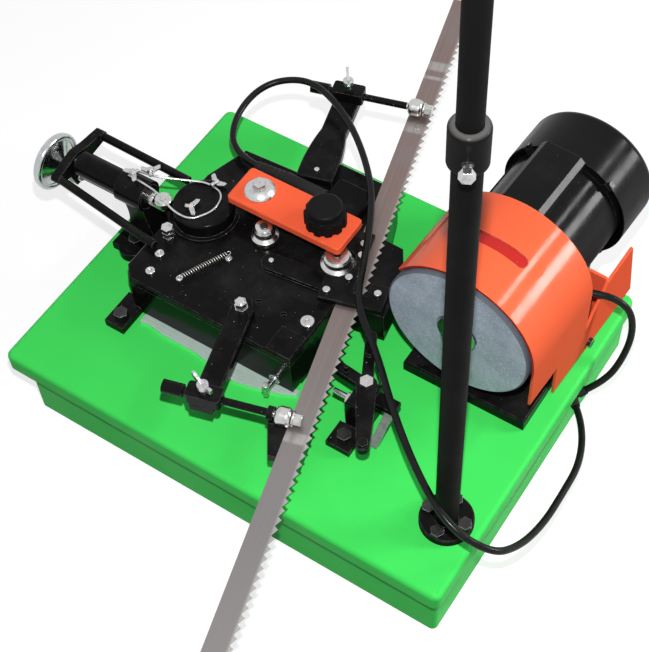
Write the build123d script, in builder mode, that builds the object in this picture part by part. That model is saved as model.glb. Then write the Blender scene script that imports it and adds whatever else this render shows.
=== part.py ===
"""Band saw blade sharpener for a bench: a green table carries a grinding head, a feed unit that
moves the blade on tooth by tooth, and a telescopic post that holds up the loop of the blade.
Millimetres, Z up. It rests on z = 0 and the middle of its four base bolts is the origin.
Positions are written from the middle of the table's top face, X to the right, Y to the back."""

import os
from math import cos, pi, radians, sin, sqrt, tan

from build123d import *

os.makedirs("parts", exist_ok=True)

# Table and skirt
table_length = 500
table_depth = 387.4
table_height = 76
rim_thickness = 21
rim_corner = 8
rim_round = 5
top_sheet = 8
rim_wall = 12
skirt_inset = 4
skirt_left_inset = 26
skirt_wall = 4
skirt_corner = 6
foot_flange = 44
foot_flange_thickness = 4
base_hole_radius = 5.5
base_hole_edge = 22
boot_height = -33
boot_a_y = 73
boot_b_y = 84
boot_base_radius = 5.2
boot_base_thickness = 3
boot_length = 8
boot_root_radius = 5
boot_tip_radius = 4.4

# Blade post
post_x = 216
post_y = -121
post_flange_radius = 25.5
post_flange_thickness = 8
post_bolt_circle = 18.4
post_bolt_count = 4
post_bolt_start = -87
post_bolt_head_radius = 6.8
post_bolt_head_height = 5
post_bolt_shank = 3.4
post_bolt_length = 16
post_radius = 10.75
post_wall = 1.5
post_length = 498
collar_overlap = 4
collar_length = 34
collar_wall = 3.55
collar_round = 4
running_gap = 0.05
edge_break = 0.8
plate_chamfer = 1.5
slider_wall = 1.6
slider_inside = 168
slider_outside = 152
slider_cap = 3
clamp_bolt_rise = 11
clamp_bolt_radius = 3
clamp_bolt_head_radius = 5.6
clamp_bolt_head_height = 5
clamp_bolt_stand = 20
clamp_bolt_heading = -62.7

# Grinding head
head_yaw = 2.67
wheel_x = 151.7
wheel_y = 0.8
wheel_radius = 75
wheel_table_gap = 25
wheel_width = 20
wheel_chamfer = 1.5
wheel_recess_radius = 22
wheel_recess_depth = 4
shaft_radius = 8
shaft_front = -13
shaft_end = 228
wheel_flange_radius = 20
wheel_flange_width = 5
nut_radius = 12
nut_width = 7
nut_gap = 0.2
guard_wheel_gap = 2.5
guard_sheet = 2.5
guard_front = 3
guard_back = 105
guard_left_angle = 145
guard_window_height = 46
guard_window_depth = 52
guard_foot_gap = 3
guard_slot_front = 46
guard_slot_width = 13
guard_slot_start = 63
guard_slot_sweep = 42
guard_slot_depth = 1.5
guard_slot_corner = 6
guard_web = 3
guard_web_hole = 20
guard_screw_circle = 46
guard_screw_radius = 5
guard_screw_height = 3
motor_radius = 58
motor_wall = 5
motor_front = 112
motor_back = 188
motor_fin_count = 7
motor_fin_height = 2
motor_fin_width = 2.4
motor_fin_step = 8
motor_fin_start = 165
bell_width = 7
bearing_radius = 16
bearing_width = 10
rotor_radius = 36.4
rotor_length = 54
stator_bore = 37
fan_cover_radius = 66
fan_cover_sheet = 1.5
fan_cover_front = 189
fan_cover_back = 247
fan_cover_round = 8
fan_cover_slots = 12
fan_slot_middle = 31
fan_slot_length = 26
fan_slot_width = 6
fan_radius = 52
fan_blades = 8
fan_disc = 3
fan_blade_depth = 14
fan_blade_middle = 32
fan_blade_length = 36
fan_front = 200
cover_lug_angle = 48
cover_lug_width = 9
cover_lug_gap = 0.3
cover_screw_radius = 3.2
cover_screw_height = 2
terminal_width = 46
terminal_offset = -6
terminal_rise = 12
terminal_chamfer = 5
base_plate_left = 97
base_plate_right = 229
base_plate_front = -1
base_plate_back = 190
base_plate_thickness = 14
base_bolt_spread = 42
base_bolt_front = 34
base_bolt_back = 126
base_bolt_head_radius = 7.4
base_bolt_head_height = 6
base_bolt_shank = 4
base_slot_length = 22
bracket_sheet = 3
bracket_wall_at = 140
bracket_wall_top = 85
bracket_wall_left = -56
bracket_tip_at = 186
bracket_tip_height = 86
bracket_end = 202
bracket_front_height = 45
bracket_rest_width = 28
bracket_rest_height = 4
motor_foot_width = 84
motor_foot_front = 147
motor_foot_back = 182
bracket_bolt_back = 12
bracket_bolt_rise = 9
bracket_bolt_radius = 5
bracket_bolt_height = 4
gland_at = 113
gland_drop = 22
gland_heading = 25
gland_radius = 7
gland_root_depth = 8
gland_length = 18
gland_nut_at = 11
gland_nut_width = 4.5
gland_nut_radius = 9

# Feed unit
feed_front = -82
feed_right = 22
feed_left = -180
feed_back = 150
feed_waist = 88
feed_rear_right = -2
feed_rear_left = -78
feed_notch_x = -100
feed_notch_y = 118
feed_shoulder_x = -165
feed_shoulder_y = 115
feed_flank = 66
feed_corner_width = 12
feed_corner_depth = 14
feed_wall = 10
feed_base_height = 48
feed_plate_thickness = 8
feed_top = 56
foot_tab_width = 22
foot_tab_length = 30
foot_tab_thickness = 10
foot_tab_x = -173
tongue_end = -238
tongue_front = -30
tongue_back = 44
top_screw_radius = 4.8
top_screw_a_x = -159
top_screw_a_y = -43
top_screw_b_x = -154
top_screw_b_y = -65
top_screw_height = 3.5
top_screw_socket = 2.7
top_screw_depth = 2
disc_x = 11
disc_y = -35
disc_radius = 7
plate_hole_left = -43
plate_hole_right = -14
plate_hole_y = -39
plate_hole_radius = 2.8
plate_hole_depth = 4
corner_cover_x = 7
corner_cover_y = -66
corner_cover_width = 27
corner_cover_depth = 29
corner_cover_thickness = 2.5
slide_x = -58
slide_y = 5.3
slide_turn = 6.5
slide_length = 70
slide_width = 20
slide_thickness = 4
adjuster_x = -164
adjuster_y = -21
adjuster_radius = 4
adjuster_height = 13
adjuster_nut = 4.5
adjuster_nut_radius = 6.2
lug_x = -218
lug_y = -16
lug_radius = 14
foot_bolt_head_radius = 7.6
foot_bolt_head_height = 5.5
foot_bolt_shank = 4

# Cam drum and the sprung plunger that follows it
drum_x = -150
drum_y = 21
drum_radius = 31.5
drum_top = 76
drum_bottom = 60
drum_round = 3.5
drum_flange_radius = 36
drum_flange_bottom = 57
cam_shaft_radius = 10
cam_shaft_bottom = 14
plunger_y = 4
plunger_height = 68
plunger_radius = 7.5
plunger_end = -181.5
plunger_flat_start = -197
roller_gap = 0.4
follower_radius = 9
follower_width = 8
follower_pin = 3
tube_radius = 13.5
tube_left = -292
tube_right = -206
pedestal_left = -234
pedestal_right = -208
pedestal_half_width = 13
pedestal_boss_radius = 17
pedestal_scoop_radius = 48
pedestal_toe = 4
pedestal_heel = 12
pedestal_boss_length = 32
yoke_left = -306
yoke_right = -296
yoke_front = -29
yoke_back = 49
yoke_half_height = 8.5
yoke_root = 16
yoke_keel_half = 10
yoke_keel_drop = 9
yoke_peak = 5
yoke_end_radius = 5.6
yoke_rod_radius = 4.5
yoke_front_rod_end = -167
yoke_front_rod_end_y = -39.5
yoke_front_rod_end_height = 62.5
yoke_back_rod_end = -184
yoke_back_rod_end_y = 42
screw_y = 2
screw_height = 50.4
screw_radius = 3.5
screw_right = -291
stop_rod_left = -289.5
stop_rod_radius = 3.9
screw_nut_radius = 7
screw_nut_width = 3.6
handwheel_radius = 30
handwheel_left = -335
handwheel_rim = 9
handwheel_hub_radius = 9
handwheel_hub_left = -318
handwheel_lip = 5
handwheel_crown = 1.5
handwheel_dish = 6
handwheel_cup = 4

# Clamp arm, knob and guide rollers
arm_left = -129
arm_right = 3
arm_front = 33
arm_back = 78
arm_bottom = 79
arm_thickness = 8
arm_corner = 4
arm_travel = 8
arm_pivot_x = -104
arm_bolt_y = 56
arm_knob_x = -26
arm_post_radius = 9
arm_bolt_radius = 4
cone_low_radius = 16
cone_high_radius = 8
cone_height = 7
cone_edge = 1.5
cone_hollow = 14
pivot_head_radius = 7
pivot_head_height = 6
pivot_bolt_grip = 12
knob_washer = 3
knob_washer_radius = 17
knob_round = 3
knob_stud_reach = 10
knob_radius = 21
knob_flutes = 11
knob_flute_radius = 3.6
knob_flute_depth = 1.9
knob_height = 14
knob_cap_radius = 17.5
knob_cap_height = 9
roller_1_x = -81
roller_1_y = 28
roller_1_radius = 14
roller_axle = 4
roller_axle_head = 6.5
roller_axle_shoulder = 1.5
roller_1_flange = 5
roller_1_slope = 3
roller_1_neck = 3.5
roller_crown = 4
roller_crown_step = 2

# Saw blade and what holds it, u across to its teeth and v along it to the back
blade_yaw = 15.23
blade_x = 35.2
blade_half_width = 12.5
blade_tooth = 4
blade_pitch = 9.5
tooth_rise = 0.72
tooth_fall = 0.78
tooth_shoulder = 0.4
blade_thickness = 1.1
blade_bottom = 60
blade_front = -375
blade_teeth = 85
roller_2_u = -24.5
roller_2_v = 43
roller_2_flange = 17
roller_2_body = 13.5
roller_2_height = 76
roller_2_flange_edge = 4
roller_2_slope = 3
saddle_right = 36
saddle_belly = 41
saddle_belly_v = 47
saddle_front = -4
saddle_back = 80
saddle_taper = 5
saddle_overrun = 6
saddle_chamfer = 6
saddle_bottom = 20
blade_lift = 0.4
clamp_plate_left = -31
clamp_plate_right = 1
clamp_plate_front = -3
clamp_bridge_width = 14
clamp_block_left = 15
clamp_block_right = 34
clamp_block_back = 27
clamp_plate_back = 85
clamp_plate_thickness = 5.5
clamp_foot_width = 15
clamp_foot_length = 12
clamp_screw_radius = 3.6
clamp_screw_height = 3

# Guide arms with their sliding rods
guide_rod_height = 71
guide_rod_radius = 3.75
guide_rod_grip_radius = 6.5
guide_rod_grip = 20
guide_rod_spare = 4
guide_arm_thickness = 10
guide_arm_width = 23
guide_block_width = 34
guide_block_depth = 17
guide_block_height = 13
guide_block_corner = 3
guide_roller_radius = 9.4
guide_roller_width = 16
guide_roller_round = 5
guide_roller_neck = 3
guide_bolt_radius = 6
guide_bolt_height = 9
guide_washer = 1.5
front_wing_turn = -33
rear_wing_turn = 111
front_arm_u = -95
front_arm_root = -22
front_rod_v = -141
front_rod_end = -25
rear_arm_u = -80
rear_arm_root = 138
rear_arm_root_width = 38
rear_arm_width = 27
rear_arm_curve = 220
rear_arm_straight = 205
rear_rod_v = 254
rear_rod_end = -14
wing_shank = 3
wing_rise = 7
wing_hub = 5.5
wing_span = 14
wing_sheet = 3
arm_stud_v = -37
arm_stud_radius = 4
rear_screw_radius = 2.6
rear_screw_inset = 10
arm_nut_radius = 7
arm_nut_height = 6
arm_stud_length = 14.4
rest_left = -21
rest_right = 9
rest_front = -177
rest_thickness = 9
rest_hanger = 7
rest_ring_wall = 3

# Feed pawl, its bracket and the pull bar
pawl_x = 95
pawl_y = -63
pawl_bottom = 46
pawl_thickness = 8
pawl_hub = 10
pawl_half_width = 5.5
pawl_tail_x = 70
pawl_tail_y = -15
pawl_finger_u = 7
pawl_finger_v = -63
pawl_tooth_u = 18.5
pawl_tooth_v = -67.5
pawl_tooth_radius = 2
pawl_screw_radius = 4
pawl_arm_tip_x = 126
pawl_arm_tip_y = -119
pawl_arm_tip_radius = 6.5
pawl_arm_bolt_radius = 5.2
bracket_post_width = 20
bracket_post_depth = 34
pawl_foot_x = 92
pawl_foot_y = -99
pawl_foot_size = 26
pawl_foot_thickness = 8
pawl_bolt_radius = 4
pawl_bolt_head = 7
pawl_bolt_head_height = 5.5
pawl_arm_end = 128
pawl_arm_bottom = 34
pawl_arm_thickness = 6
pawl_arm_width = 14
strut_width = 9
strut_thickness = 4
strut_top_inset = 5
strut_foot_x = 118
strut_foot_y = -89
stop_screw_height = 36
stop_screw_radius = 3
stop_screw_tip = 66
stop_nut = 4
stop_screw_offset = 12
bar_left = -156
bar_right = 27
bar_front = -93
bar_belly = -101
bar_nose = 28
bar_straight = 40
bar_bulge = 52
bar_point = 30
bar_thickness = 4
bar_travel = 6
tee_x = 3
tee_height = 16
tee_collar = 3
tee_length = 20
tee_radius = 3
tee_bar_radius = 3
tee_bar_half = 9

# Feed motor, its strain relief and the two cables
feed_motor_left = -54
feed_motor_right = -12
feed_motor_front = 84
feed_motor_back = 124
feed_motor_height = 14
feed_motor_corner = 5
feed_motor_round = 2.5
relief_y = 96
relief_height = 66
relief_start = -98
relief_end = -138
relief_root = 8
relief_tip = 4.8
relief_ribs = 7
relief_rib_share = 0.6
relief_groove = 0.9
cable_radius = 3.5

# Return spring
spring_low_x = -123
spring_low_y = -60
spring_high_x = -99
spring_high_y = -9
spring_height = 61.5
spring_radius = 2.7
spring_wire = 0.5
spring_turns = 19.5
spring_pitch = 2.6
spring_pin = 1.4
spring_pin_foot = 3.4
spring_pin_foot_height = 1.6

# Loose wire ring with spare wing screws
wire_radius = 1.1
drum_rest_gap = 0.3
spare_size = 0.7

wheel_axis_height = wheel_radius + wheel_table_gap
guard_radius = wheel_radius + guard_wheel_gap + guard_sheet
cover_lug_height = fan_cover_radius - fan_cover_sheet - motor_radius - cover_lug_gap
slider_radius = post_radius - post_wall - running_gap
slider_bottom = post_length - slider_inside
slider_top = post_length + slider_outside
collar_bottom = post_length - collar_overlap
collar_radius = post_radius + collar_wall
clamp_bolt_height = collar_bottom + clamp_bolt_rise
skirt_shift = (skirt_left_inset - skirt_inset) / 2
skirt_length = table_length - skirt_left_inset - skirt_inset
skirt_depth = table_depth - 2 * skirt_inset
skirt_right = table_length / 2 - skirt_inset
back_way = Vector(sin(radians(head_yaw)), cos(radians(head_yaw)), 0)
right_way = Vector(cos(radians(head_yaw)), -sin(radians(head_yaw)), 0)
blade_across = Vector(cos(radians(blade_yaw)), sin(radians(blade_yaw)), 0)
blade_along = Vector(-sin(radians(blade_yaw)), cos(radians(blade_yaw)), 0)
up = Vector(0, 0, 1)


def spot(x, y, z):
    """A place given from the middle of the table's top."""
    return Vector(x - skirt_shift, y, z + table_height)


def level(x, y, z, turn=0):
    """A level plane, turned about Z."""
    return Plane(spot(x, y, z), x_dir=(cos(radians(turn)), sin(radians(turn)), 0), z_dir=up)


def head_spot(s, t, h):
    """A place in the grinding head: s right, t back from the wheel's face, h above its axis."""
    return spot(wheel_x, wheel_y, wheel_axis_height) + right_way * s + back_way * t + up * h


def head_section(t):
    """The plane across the head's axis, seen from the front."""
    return Plane(head_spot(0, t, 0), x_dir=right_way, z_dir=back_way * -1)


def head_level(s, t, h):
    """A level plane in the head."""
    return Plane(head_spot(s, t, h), x_dir=right_way, z_dir=up)


def blade_spot(u, v, z):
    """A place beside the blade: u towards its teeth, v along it."""
    return spot(blade_x, 0, z) + blade_across * u + blade_along * v


def blade_level(u, v, z):
    """A level plane lined up with the blade."""
    return Plane(blade_spot(u, v, z), x_dir=blade_across, z_dir=up)


def blade_side(u, v, z):
    """A plane that looks along the guide rods, towards the teeth."""
    return Plane(blade_spot(u, v, z), x_dir=blade_along, z_dir=blade_across)


def post(plane, radius, length, mode=Mode.ADD):
    """A round bar that stands on a plane."""
    with BuildSketch(plane) as disc:
        Circle(radius)
    extrude(disc.sketch, amount=length, mode=mode)


def hexagon(plane, radius, height):
    """A six-sided head or nut on a plane."""
    with BuildSketch(plane) as outline:
        RegularPolygon(radius, 6)
    extrude(outline.sketch, amount=height)


def shifted(plane, distance):
    """The same plane moved along its normal."""
    return Plane(plane.origin + plane.z_dir * distance, x_dir=plane.x_dir, z_dir=plane.z_dir)


def wing_screw(plane, turn, size=1):
    """A wing screw that stands on a plane: bare shank, round hub and two blunt wings."""
    hub = wing_hub * size
    span = wing_span * size
    hub_face = shifted(plane, wing_rise * size)
    post(plane, wing_shank * size, wing_rise * size)
    post(hub_face, hub, hub)
    side = plane.x_dir * cos(radians(turn)) + plane.y_dir * sin(radians(turn))
    wings = Plane(hub_face.origin, x_dir=side, z_dir=side.cross(plane.z_dir))
    with BuildSketch(wings) as outline:
        with BuildLine():
            Polyline(
                (0, 0),
                (hub, 0),
                (span, hub),
                (span, 2 * hub),
                (span - hub / 2, 2 * hub),
                (0, hub),
                close=True,
            )
        make_face()
        mirror(about=Plane.YZ)
    extrude(outline.sketch, amount=wing_sheet * size / 2, both=True)


def cable_path(points):
    """Straight runs joined by tangent arcs, each as wide as its two runs allow."""
    radii = []
    for before, corner, after in zip(points, points[1:], points[2:]):
        run = min((corner - before).length, (after - corner).length)
        turn = (corner - before).get_angle(after - corner)
        radii.append(0.45 * run / tan(radians(turn / 2)))
    return radii


def save(piece, label):
    """Names the piece and writes its file."""
    piece.part.label = label
    export_step(piece.part, f"parts/{label}.step")


# The table's top is a thick slab with a rounded rim, lightened from below.
post_bolt_turns = [post_bolt_start + 360 / post_bolt_count * step for step in range(post_bolt_count)]
post_bolts_at = [
    (post_x + post_bolt_circle * cos(radians(turn)), post_y + post_bolt_circle * sin(radians(turn)))
    for turn in post_bolt_turns
]
foot_bolts_at = [(foot_tab_x, feed_front - foot_tab_length / 2 - 2), (lug_x, lug_y)]
pawl_bolt_at = (pawl_foot_x, pawl_foot_y)
with BuildPart() as table_top:
    with BuildSketch(level(0, 0, -rim_thickness)):
        RectangleRounded(table_length, table_depth, rim_corner)
    extrude(amount=rim_thickness)
    fillet(table_top.faces().sort_by(Axis.Z)[-1].edges(), rim_round)
    with BuildSketch(level(skirt_shift, 0, -rim_thickness)):
        RectangleRounded(skirt_length - 2 * rim_wall, skirt_depth - 2 * rim_wall, rim_corner)
    extrude(amount=rim_thickness - top_sheet, mode=Mode.SUBTRACT)
    for x, y in post_bolts_at:
        post(level(x, y, -rim_thickness), post_bolt_shank, rim_thickness, Mode.SUBTRACT)
    for x, y in foot_bolts_at + [pawl_bolt_at]:
        post(level(x, y, -rim_thickness), foot_bolt_shank, rim_thickness, Mode.SUBTRACT)
    for s in (-base_bolt_spread, base_bolt_spread):
        for t in (base_bolt_front, base_bolt_back):
            post(
                head_level(s, t, -wheel_axis_height - rim_thickness),
                base_bolt_shank,
                rim_thickness,
                Mode.SUBTRACT,
            )
save(table_top, "table_top")

# The skirt is a folded sheet box with an inward foot flange and four bolt holes.
skirt_height = table_height - rim_thickness
base_hole_x = skirt_length / 2 - base_hole_edge
base_hole_y = skirt_depth / 2 - base_hole_edge
with BuildPart() as base_frame:
    with BuildSketch(level(skirt_shift, 0, -table_height)):
        RectangleRounded(skirt_length, skirt_depth, skirt_corner)
    extrude(amount=skirt_height)
    with BuildSketch(level(skirt_shift, 0, -table_height)):
        RectangleRounded(
            skirt_length - 2 * foot_flange, skirt_depth - 2 * foot_flange, skirt_corner
        )
    extrude(amount=skirt_height, mode=Mode.SUBTRACT)
    with BuildSketch(level(skirt_shift, 0, foot_flange_thickness - table_height)):
        RectangleRounded(
            skirt_length - 2 * skirt_wall, skirt_depth - 2 * skirt_wall, skirt_corner - skirt_wall
        )
    extrude(amount=skirt_height, mode=Mode.SUBTRACT)
    with BuildSketch(level(skirt_shift, 0, -table_height)):
        with GridLocations(2 * base_hole_x, 2 * base_hole_y, 2, 2):
            Circle(base_hole_radius)
    extrude(amount=foot_flange_thickness, mode=Mode.SUBTRACT)
save(base_frame, "base_frame")

boot_a_way = Vector(0.66, -0.72, 0.2).normalized()
boot_b_way = Vector(0.62, 0.52, 0.59).normalized()
boot_a_end = spot(skirt_right + boot_base_thickness / 2, boot_a_y, boot_height) + boot_a_way * boot_length
boot_b_end = spot(skirt_right + boot_base_thickness / 2, boot_b_y, boot_height) + boot_b_way * boot_length

# The post's round foot is welded to its tube and held by four hexagon bolts.
with BuildPart() as post_tube:
    with BuildSketch(level(post_x, post_y, 0)):
        Circle(post_flange_radius)
        with PolarLocations(post_bolt_circle, post_bolt_count, start_angle=post_bolt_start):
            Circle(post_bolt_shank, mode=Mode.SUBTRACT)
    extrude(amount=post_flange_thickness)
    chamfer(post_tube.edges().filter_by(GeomType.CIRCLE).sort_by(SortBy.RADIUS)[-2:].sort_by(Axis.Z)[-1], 1)
    post(level(post_x, post_y, 0), post_radius, post_length)
    post(level(post_x, post_y, 0), post_radius - post_wall, post_length, Mode.SUBTRACT)
save(post_tube, "post_tube")

# The collar closes the lower tube and clamps the sliding one.
clamp_way = Vector(cos(radians(clamp_bolt_heading)), sin(radians(clamp_bolt_heading)), 0)
clamp_plane = Plane(
    spot(post_x, post_y, clamp_bolt_height) + clamp_way * (slider_radius + roller_gap), z_dir=clamp_way
)
with BuildPart() as post_collar:
    with BuildSketch(level(post_x, post_y, collar_bottom)):
        Circle(collar_radius)
    extrude(amount=collar_length)
    fillet(post_collar.faces().sort_by(Axis.Z)[-1].edges(), collar_round)
    post(level(post_x, post_y, collar_bottom), post_radius, post_length - collar_bottom, Mode.SUBTRACT)
    post(
        level(post_x, post_y, collar_bottom),
        slider_radius + running_gap,
        collar_length,
        Mode.SUBTRACT,
    )
    post(clamp_plane, clamp_bolt_radius + running_gap, collar_radius, Mode.SUBTRACT)
save(post_collar, "post_collar")

with BuildPart() as post_slider:
    with BuildSketch(level(post_x, post_y, slider_bottom)):
        Circle(slider_radius)
    extrude(amount=slider_top - slider_bottom)
    fillet(post_slider.faces().sort_by(Axis.Z)[-1].edges(), slider_wall)
    post(
        level(post_x, post_y, slider_bottom),
        slider_radius - slider_wall,
        slider_top - slider_bottom - slider_cap,
        Mode.SUBTRACT,
    )
save(post_slider, "post_slider")

with BuildPart() as post_clamp_bolt:
    post(clamp_plane, clamp_bolt_radius, clamp_bolt_stand - slider_radius)
    hexagon(
        shifted(clamp_plane, clamp_bolt_stand - slider_radius),
        clamp_bolt_head_radius,
        clamp_bolt_head_height,
    )
save(post_clamp_bolt, "post_clamp_bolt")

# The head's base plate has slots, so the wheel can be set towards the blade.
head_floor = -wheel_axis_height
head_bolts_at = [
    (s, t) for s in (-base_bolt_spread, base_bolt_spread) for t in (base_bolt_front, base_bolt_back)
]
with BuildPart() as head_base_plate:
    with BuildSketch(level(0, 0, 0)) as plate:
        with Locations(
            (
                (base_plate_left + base_plate_right) / 2,
                (base_plate_front + base_plate_back) / 2,
            )
        ):
            Rectangle(base_plate_right - base_plate_left, base_plate_back - base_plate_front)
    extrude(amount=base_plate_thickness)
    chamfer(head_base_plate.faces().sort_by(Axis.Z)[-1].edges(), plate_chamfer)
    for s, t in head_bolts_at:
        with BuildSketch(head_level(s, t, head_floor)) as slot:
            SlotOverall(base_slot_length, 2 * base_bolt_shank, rotation=90)
        extrude(slot.sketch, amount=base_plate_thickness, mode=Mode.SUBTRACT)
    foot_height = wheel_axis_height - base_plate_thickness
    with BuildSketch(head_section(motor_foot_front)) as saddle:
        with Locations((0, -foot_height + motor_radius / 2)):
            Rectangle(motor_foot_width, motor_radius)
        Circle(motor_radius, mode=Mode.SUBTRACT)
        with Locations((0, -foot_height)):
            Rectangle(motor_foot_width / 2, motor_radius / 3, mode=Mode.SUBTRACT)
    extrude(saddle.sketch, amount=motor_foot_front - motor_foot_back)
save(head_base_plate, "head_base_plate")

# The motor is a finned shell between two end bells, on a saddle foot.
bell_front = guard_back
motor_middle = (motor_front + motor_back) / 2
with BuildPart() as motor_body:
    with BuildSketch(head_section(motor_front)):
        Circle(motor_radius)
        for number in range(motor_fin_count):
            with PolarLocations(motor_radius, 1, start_angle=motor_fin_start + number * motor_fin_step):
                Rectangle(2 * motor_fin_height, motor_fin_width)
        Circle(motor_radius - motor_wall, mode=Mode.SUBTRACT)
    extrude(amount=motor_front - motor_back)
    with BuildSketch(head_section(motor_middle - rotor_length / 2)):
        Circle(motor_radius - motor_wall)
        Circle(stator_bore, mode=Mode.SUBTRACT)
    extrude(amount=-rotor_length)
save(motor_body, "motor_body")


with BuildPart() as motor_end_bells:
    with BuildSketch(head_section(bell_front)) as front_disc:
        Circle(motor_radius)
    extrude(front_disc.sketch, amount=-bell_width)
    with BuildSketch(head_section(motor_back)) as rear_disc:
        Circle(motor_radius)
        for side in (1, -1):
            for tilt in (cover_lug_angle, 180 - cover_lug_angle):
                with PolarLocations(motor_radius, 1, start_angle=side * tilt):
                    Rectangle(2 * cover_lug_height, cover_lug_width)
    extrude(rear_disc.sketch, amount=-bell_width)
    for seat, inward in ((motor_front, -bearing_width), (motor_back, bearing_width)):
        post(head_section(seat), bearing_radius, inward)
    shaft_way = bell_front - motor_back - bell_width
    post(head_section(bell_front), shaft_radius + running_gap, shaft_way, Mode.SUBTRACT)
save(motor_end_bells, "motor_end_bells")

with BuildPart() as motor_shaft:
    with BuildSketch(head_section(shaft_front)):
        Circle(shaft_radius)
    extrude(amount=shaft_front - shaft_end)
    chamfer(motor_shaft.faces().sort_by(Axis.Y)[0].edges(), 1)
    post(head_section(motor_middle - rotor_length / 2), rotor_radius, -rotor_length)
save(motor_shaft, "motor_rotor")

with BuildPart() as cooling_fan:
    with BuildSketch(head_section(fan_front)):
        Circle(fan_radius)
        Circle(shaft_radius, mode=Mode.SUBTRACT)
    extrude(amount=-fan_disc)
    with BuildSketch(head_section(fan_front + fan_disc)):
        with PolarLocations(fan_blade_middle, fan_blades):
            Rectangle(fan_blade_length, fan_disc)
    extrude(amount=-fan_blade_depth)
save(cooling_fan, "cooling_fan")

# The fan cover is a drawn cup with a rounded back and a ring of air slots.
with BuildPart() as motor_fan_cover:
    with BuildSketch(head_section(fan_cover_front)):
        Circle(fan_cover_radius)
    extrude(amount=fan_cover_front - fan_cover_back)
    fillet(motor_fan_cover.faces().sort_by(Axis.Y)[-1].edges(), fan_cover_round)
    cup_mouth = motor_fan_cover.faces().sort_by(Axis.Y)[0]
    offset(amount=-fan_cover_sheet, openings=cup_mouth)
    with BuildSketch(head_section(fan_cover_back + fan_cover_sheet)):
        with PolarLocations(fan_slot_middle, fan_cover_slots):
            SlotOverall(fan_slot_length, fan_slot_width)
    extrude(amount=4 * fan_cover_sheet, mode=Mode.SUBTRACT)
save(motor_fan_cover, "motor_fan_cover")

# A long capacitor box lies along the top of the motor.
with BuildPart() as terminal_box:
    box_top = motor_radius + terminal_rise
    with BuildSketch(head_section(motor_front)):
        with BuildLine():
            Polyline(
                (terminal_offset - terminal_width / 2, motor_radius / 2),
                (terminal_offset + terminal_width / 2, motor_radius / 2),
                (terminal_offset + terminal_width / 2, box_top - terminal_chamfer),
                (terminal_offset + terminal_width / 2 - terminal_chamfer, box_top),
                (terminal_offset - terminal_width / 2 + terminal_chamfer, box_top),
                (terminal_offset - terminal_width / 2, box_top - terminal_chamfer),
                close=True,
            )
        make_face()
    extrude(amount=motor_front - fan_cover_front + roller_gap)
    post(head_section(motor_front), motor_radius, motor_front - motor_back - bell_width, Mode.SUBTRACT)
save(terminal_box, "terminal_box")

# The guard is a rolled hood with a straight right wall, a long pressed slot and a back web.
guard_bore = guard_radius - guard_sheet
slot_floor = guard_radius - guard_slot_depth
wall_foot = guard_foot_gap - wheel_axis_height
window_edge = guard_window_height - wheel_axis_height
left_turn = radians(guard_left_angle)

with BuildPart() as wheel_guard:
    with BuildSketch(head_section(guard_front)):
        with BuildLine():
            CenterArc((0, 0), guard_radius, 0, guard_left_angle)
            CenterArc((0, 0), guard_bore, 0, guard_left_angle)
            Line(
                (guard_bore * cos(left_turn), guard_bore * sin(left_turn)),
                (guard_radius * cos(left_turn), guard_radius * sin(left_turn)),
            )
            Polyline((guard_radius, 0), (guard_radius, wall_foot), (guard_bore, wall_foot), (guard_bore, 0))
        make_face()
    extrude(amount=guard_front - guard_back)
    with BuildSketch(head_section(guard_back - guard_web)):
        with BuildLine():
            CenterArc((0, 0), guard_bore, 0, guard_left_angle)
            Polyline(
                (guard_bore, 0),
                (guard_bore, window_edge),
                (-motor_radius / 4, -motor_radius),
                (-motor_radius, -motor_radius / 3),
                (guard_bore * cos(left_turn), guard_bore * sin(left_turn)),
            )
        make_face()
        Circle(guard_web_hole, mode=Mode.SUBTRACT)
    extrude(amount=-guard_web)
    with BuildSketch(Plane(head_spot(0, 0, 0), x_dir=back_way, z_dir=right_way)):
        with Locations((guard_window_depth / 2, (wall_foot + window_edge) / 2 - 1)):
            Rectangle(guard_window_depth, window_edge - wall_foot + 2)
    extrude(amount=guard_radius + 1, mode=Mode.SUBTRACT)
    with BuildSketch(head_section(guard_slot_front)):
        with BuildLine():
            CenterArc((0, 0), guard_radius, guard_slot_start, guard_slot_sweep)
            CenterArc((0, 0), slot_floor, guard_slot_start, guard_slot_sweep)
            for end in (guard_slot_start, guard_slot_start + guard_slot_sweep):
                turn = radians(end)
                Line(
                    (slot_floor * cos(turn), slot_floor * sin(turn)),
                    (guard_radius * cos(turn), guard_radius * sin(turn)),
                )
        make_face()
    extrude(amount=-guard_slot_width, mode=Mode.SUBTRACT)
    slot_corners = wheel_guard.edges().filter_by(lambda edge: abs(edge.length - guard_slot_depth) < 0.001)
    fillet(slot_corners, guard_slot_corner)
save(wheel_guard, "wheel_guard")

# The wheel sits between two flanges on the shaft and is held by a nut.
with BuildPart() as grinding_wheel:
    with BuildSketch(head_section(0)):
        Circle(wheel_radius)
    extrude(amount=-wheel_width)
    chamfer(grinding_wheel.edges().filter_by(GeomType.CIRCLE), wheel_chamfer)
    post(head_section(0), wheel_recess_radius, -wheel_recess_depth, Mode.SUBTRACT)
    post(head_section(0), shaft_radius, -wheel_width, Mode.SUBTRACT)
save(grinding_wheel, "grinding_wheel")

with BuildPart() as wheel_flanges:
    for t in (wheel_recess_depth - wheel_flange_width, wheel_width):
        with BuildSketch(head_section(t)) as ring:
            Circle(wheel_flange_radius)
            Circle(shaft_radius, mode=Mode.SUBTRACT)
        extrude(ring.sketch, amount=-wheel_flange_width)
    with BuildSketch(head_section(wheel_recess_depth - wheel_flange_width - nut_gap)) as nut:
        RegularPolygon(nut_radius, 6)
        Circle(shaft_radius, mode=Mode.SUBTRACT)
    extrude(nut.sketch, amount=nut_width)
save(wheel_flanges, "wheel_flanges")


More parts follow.
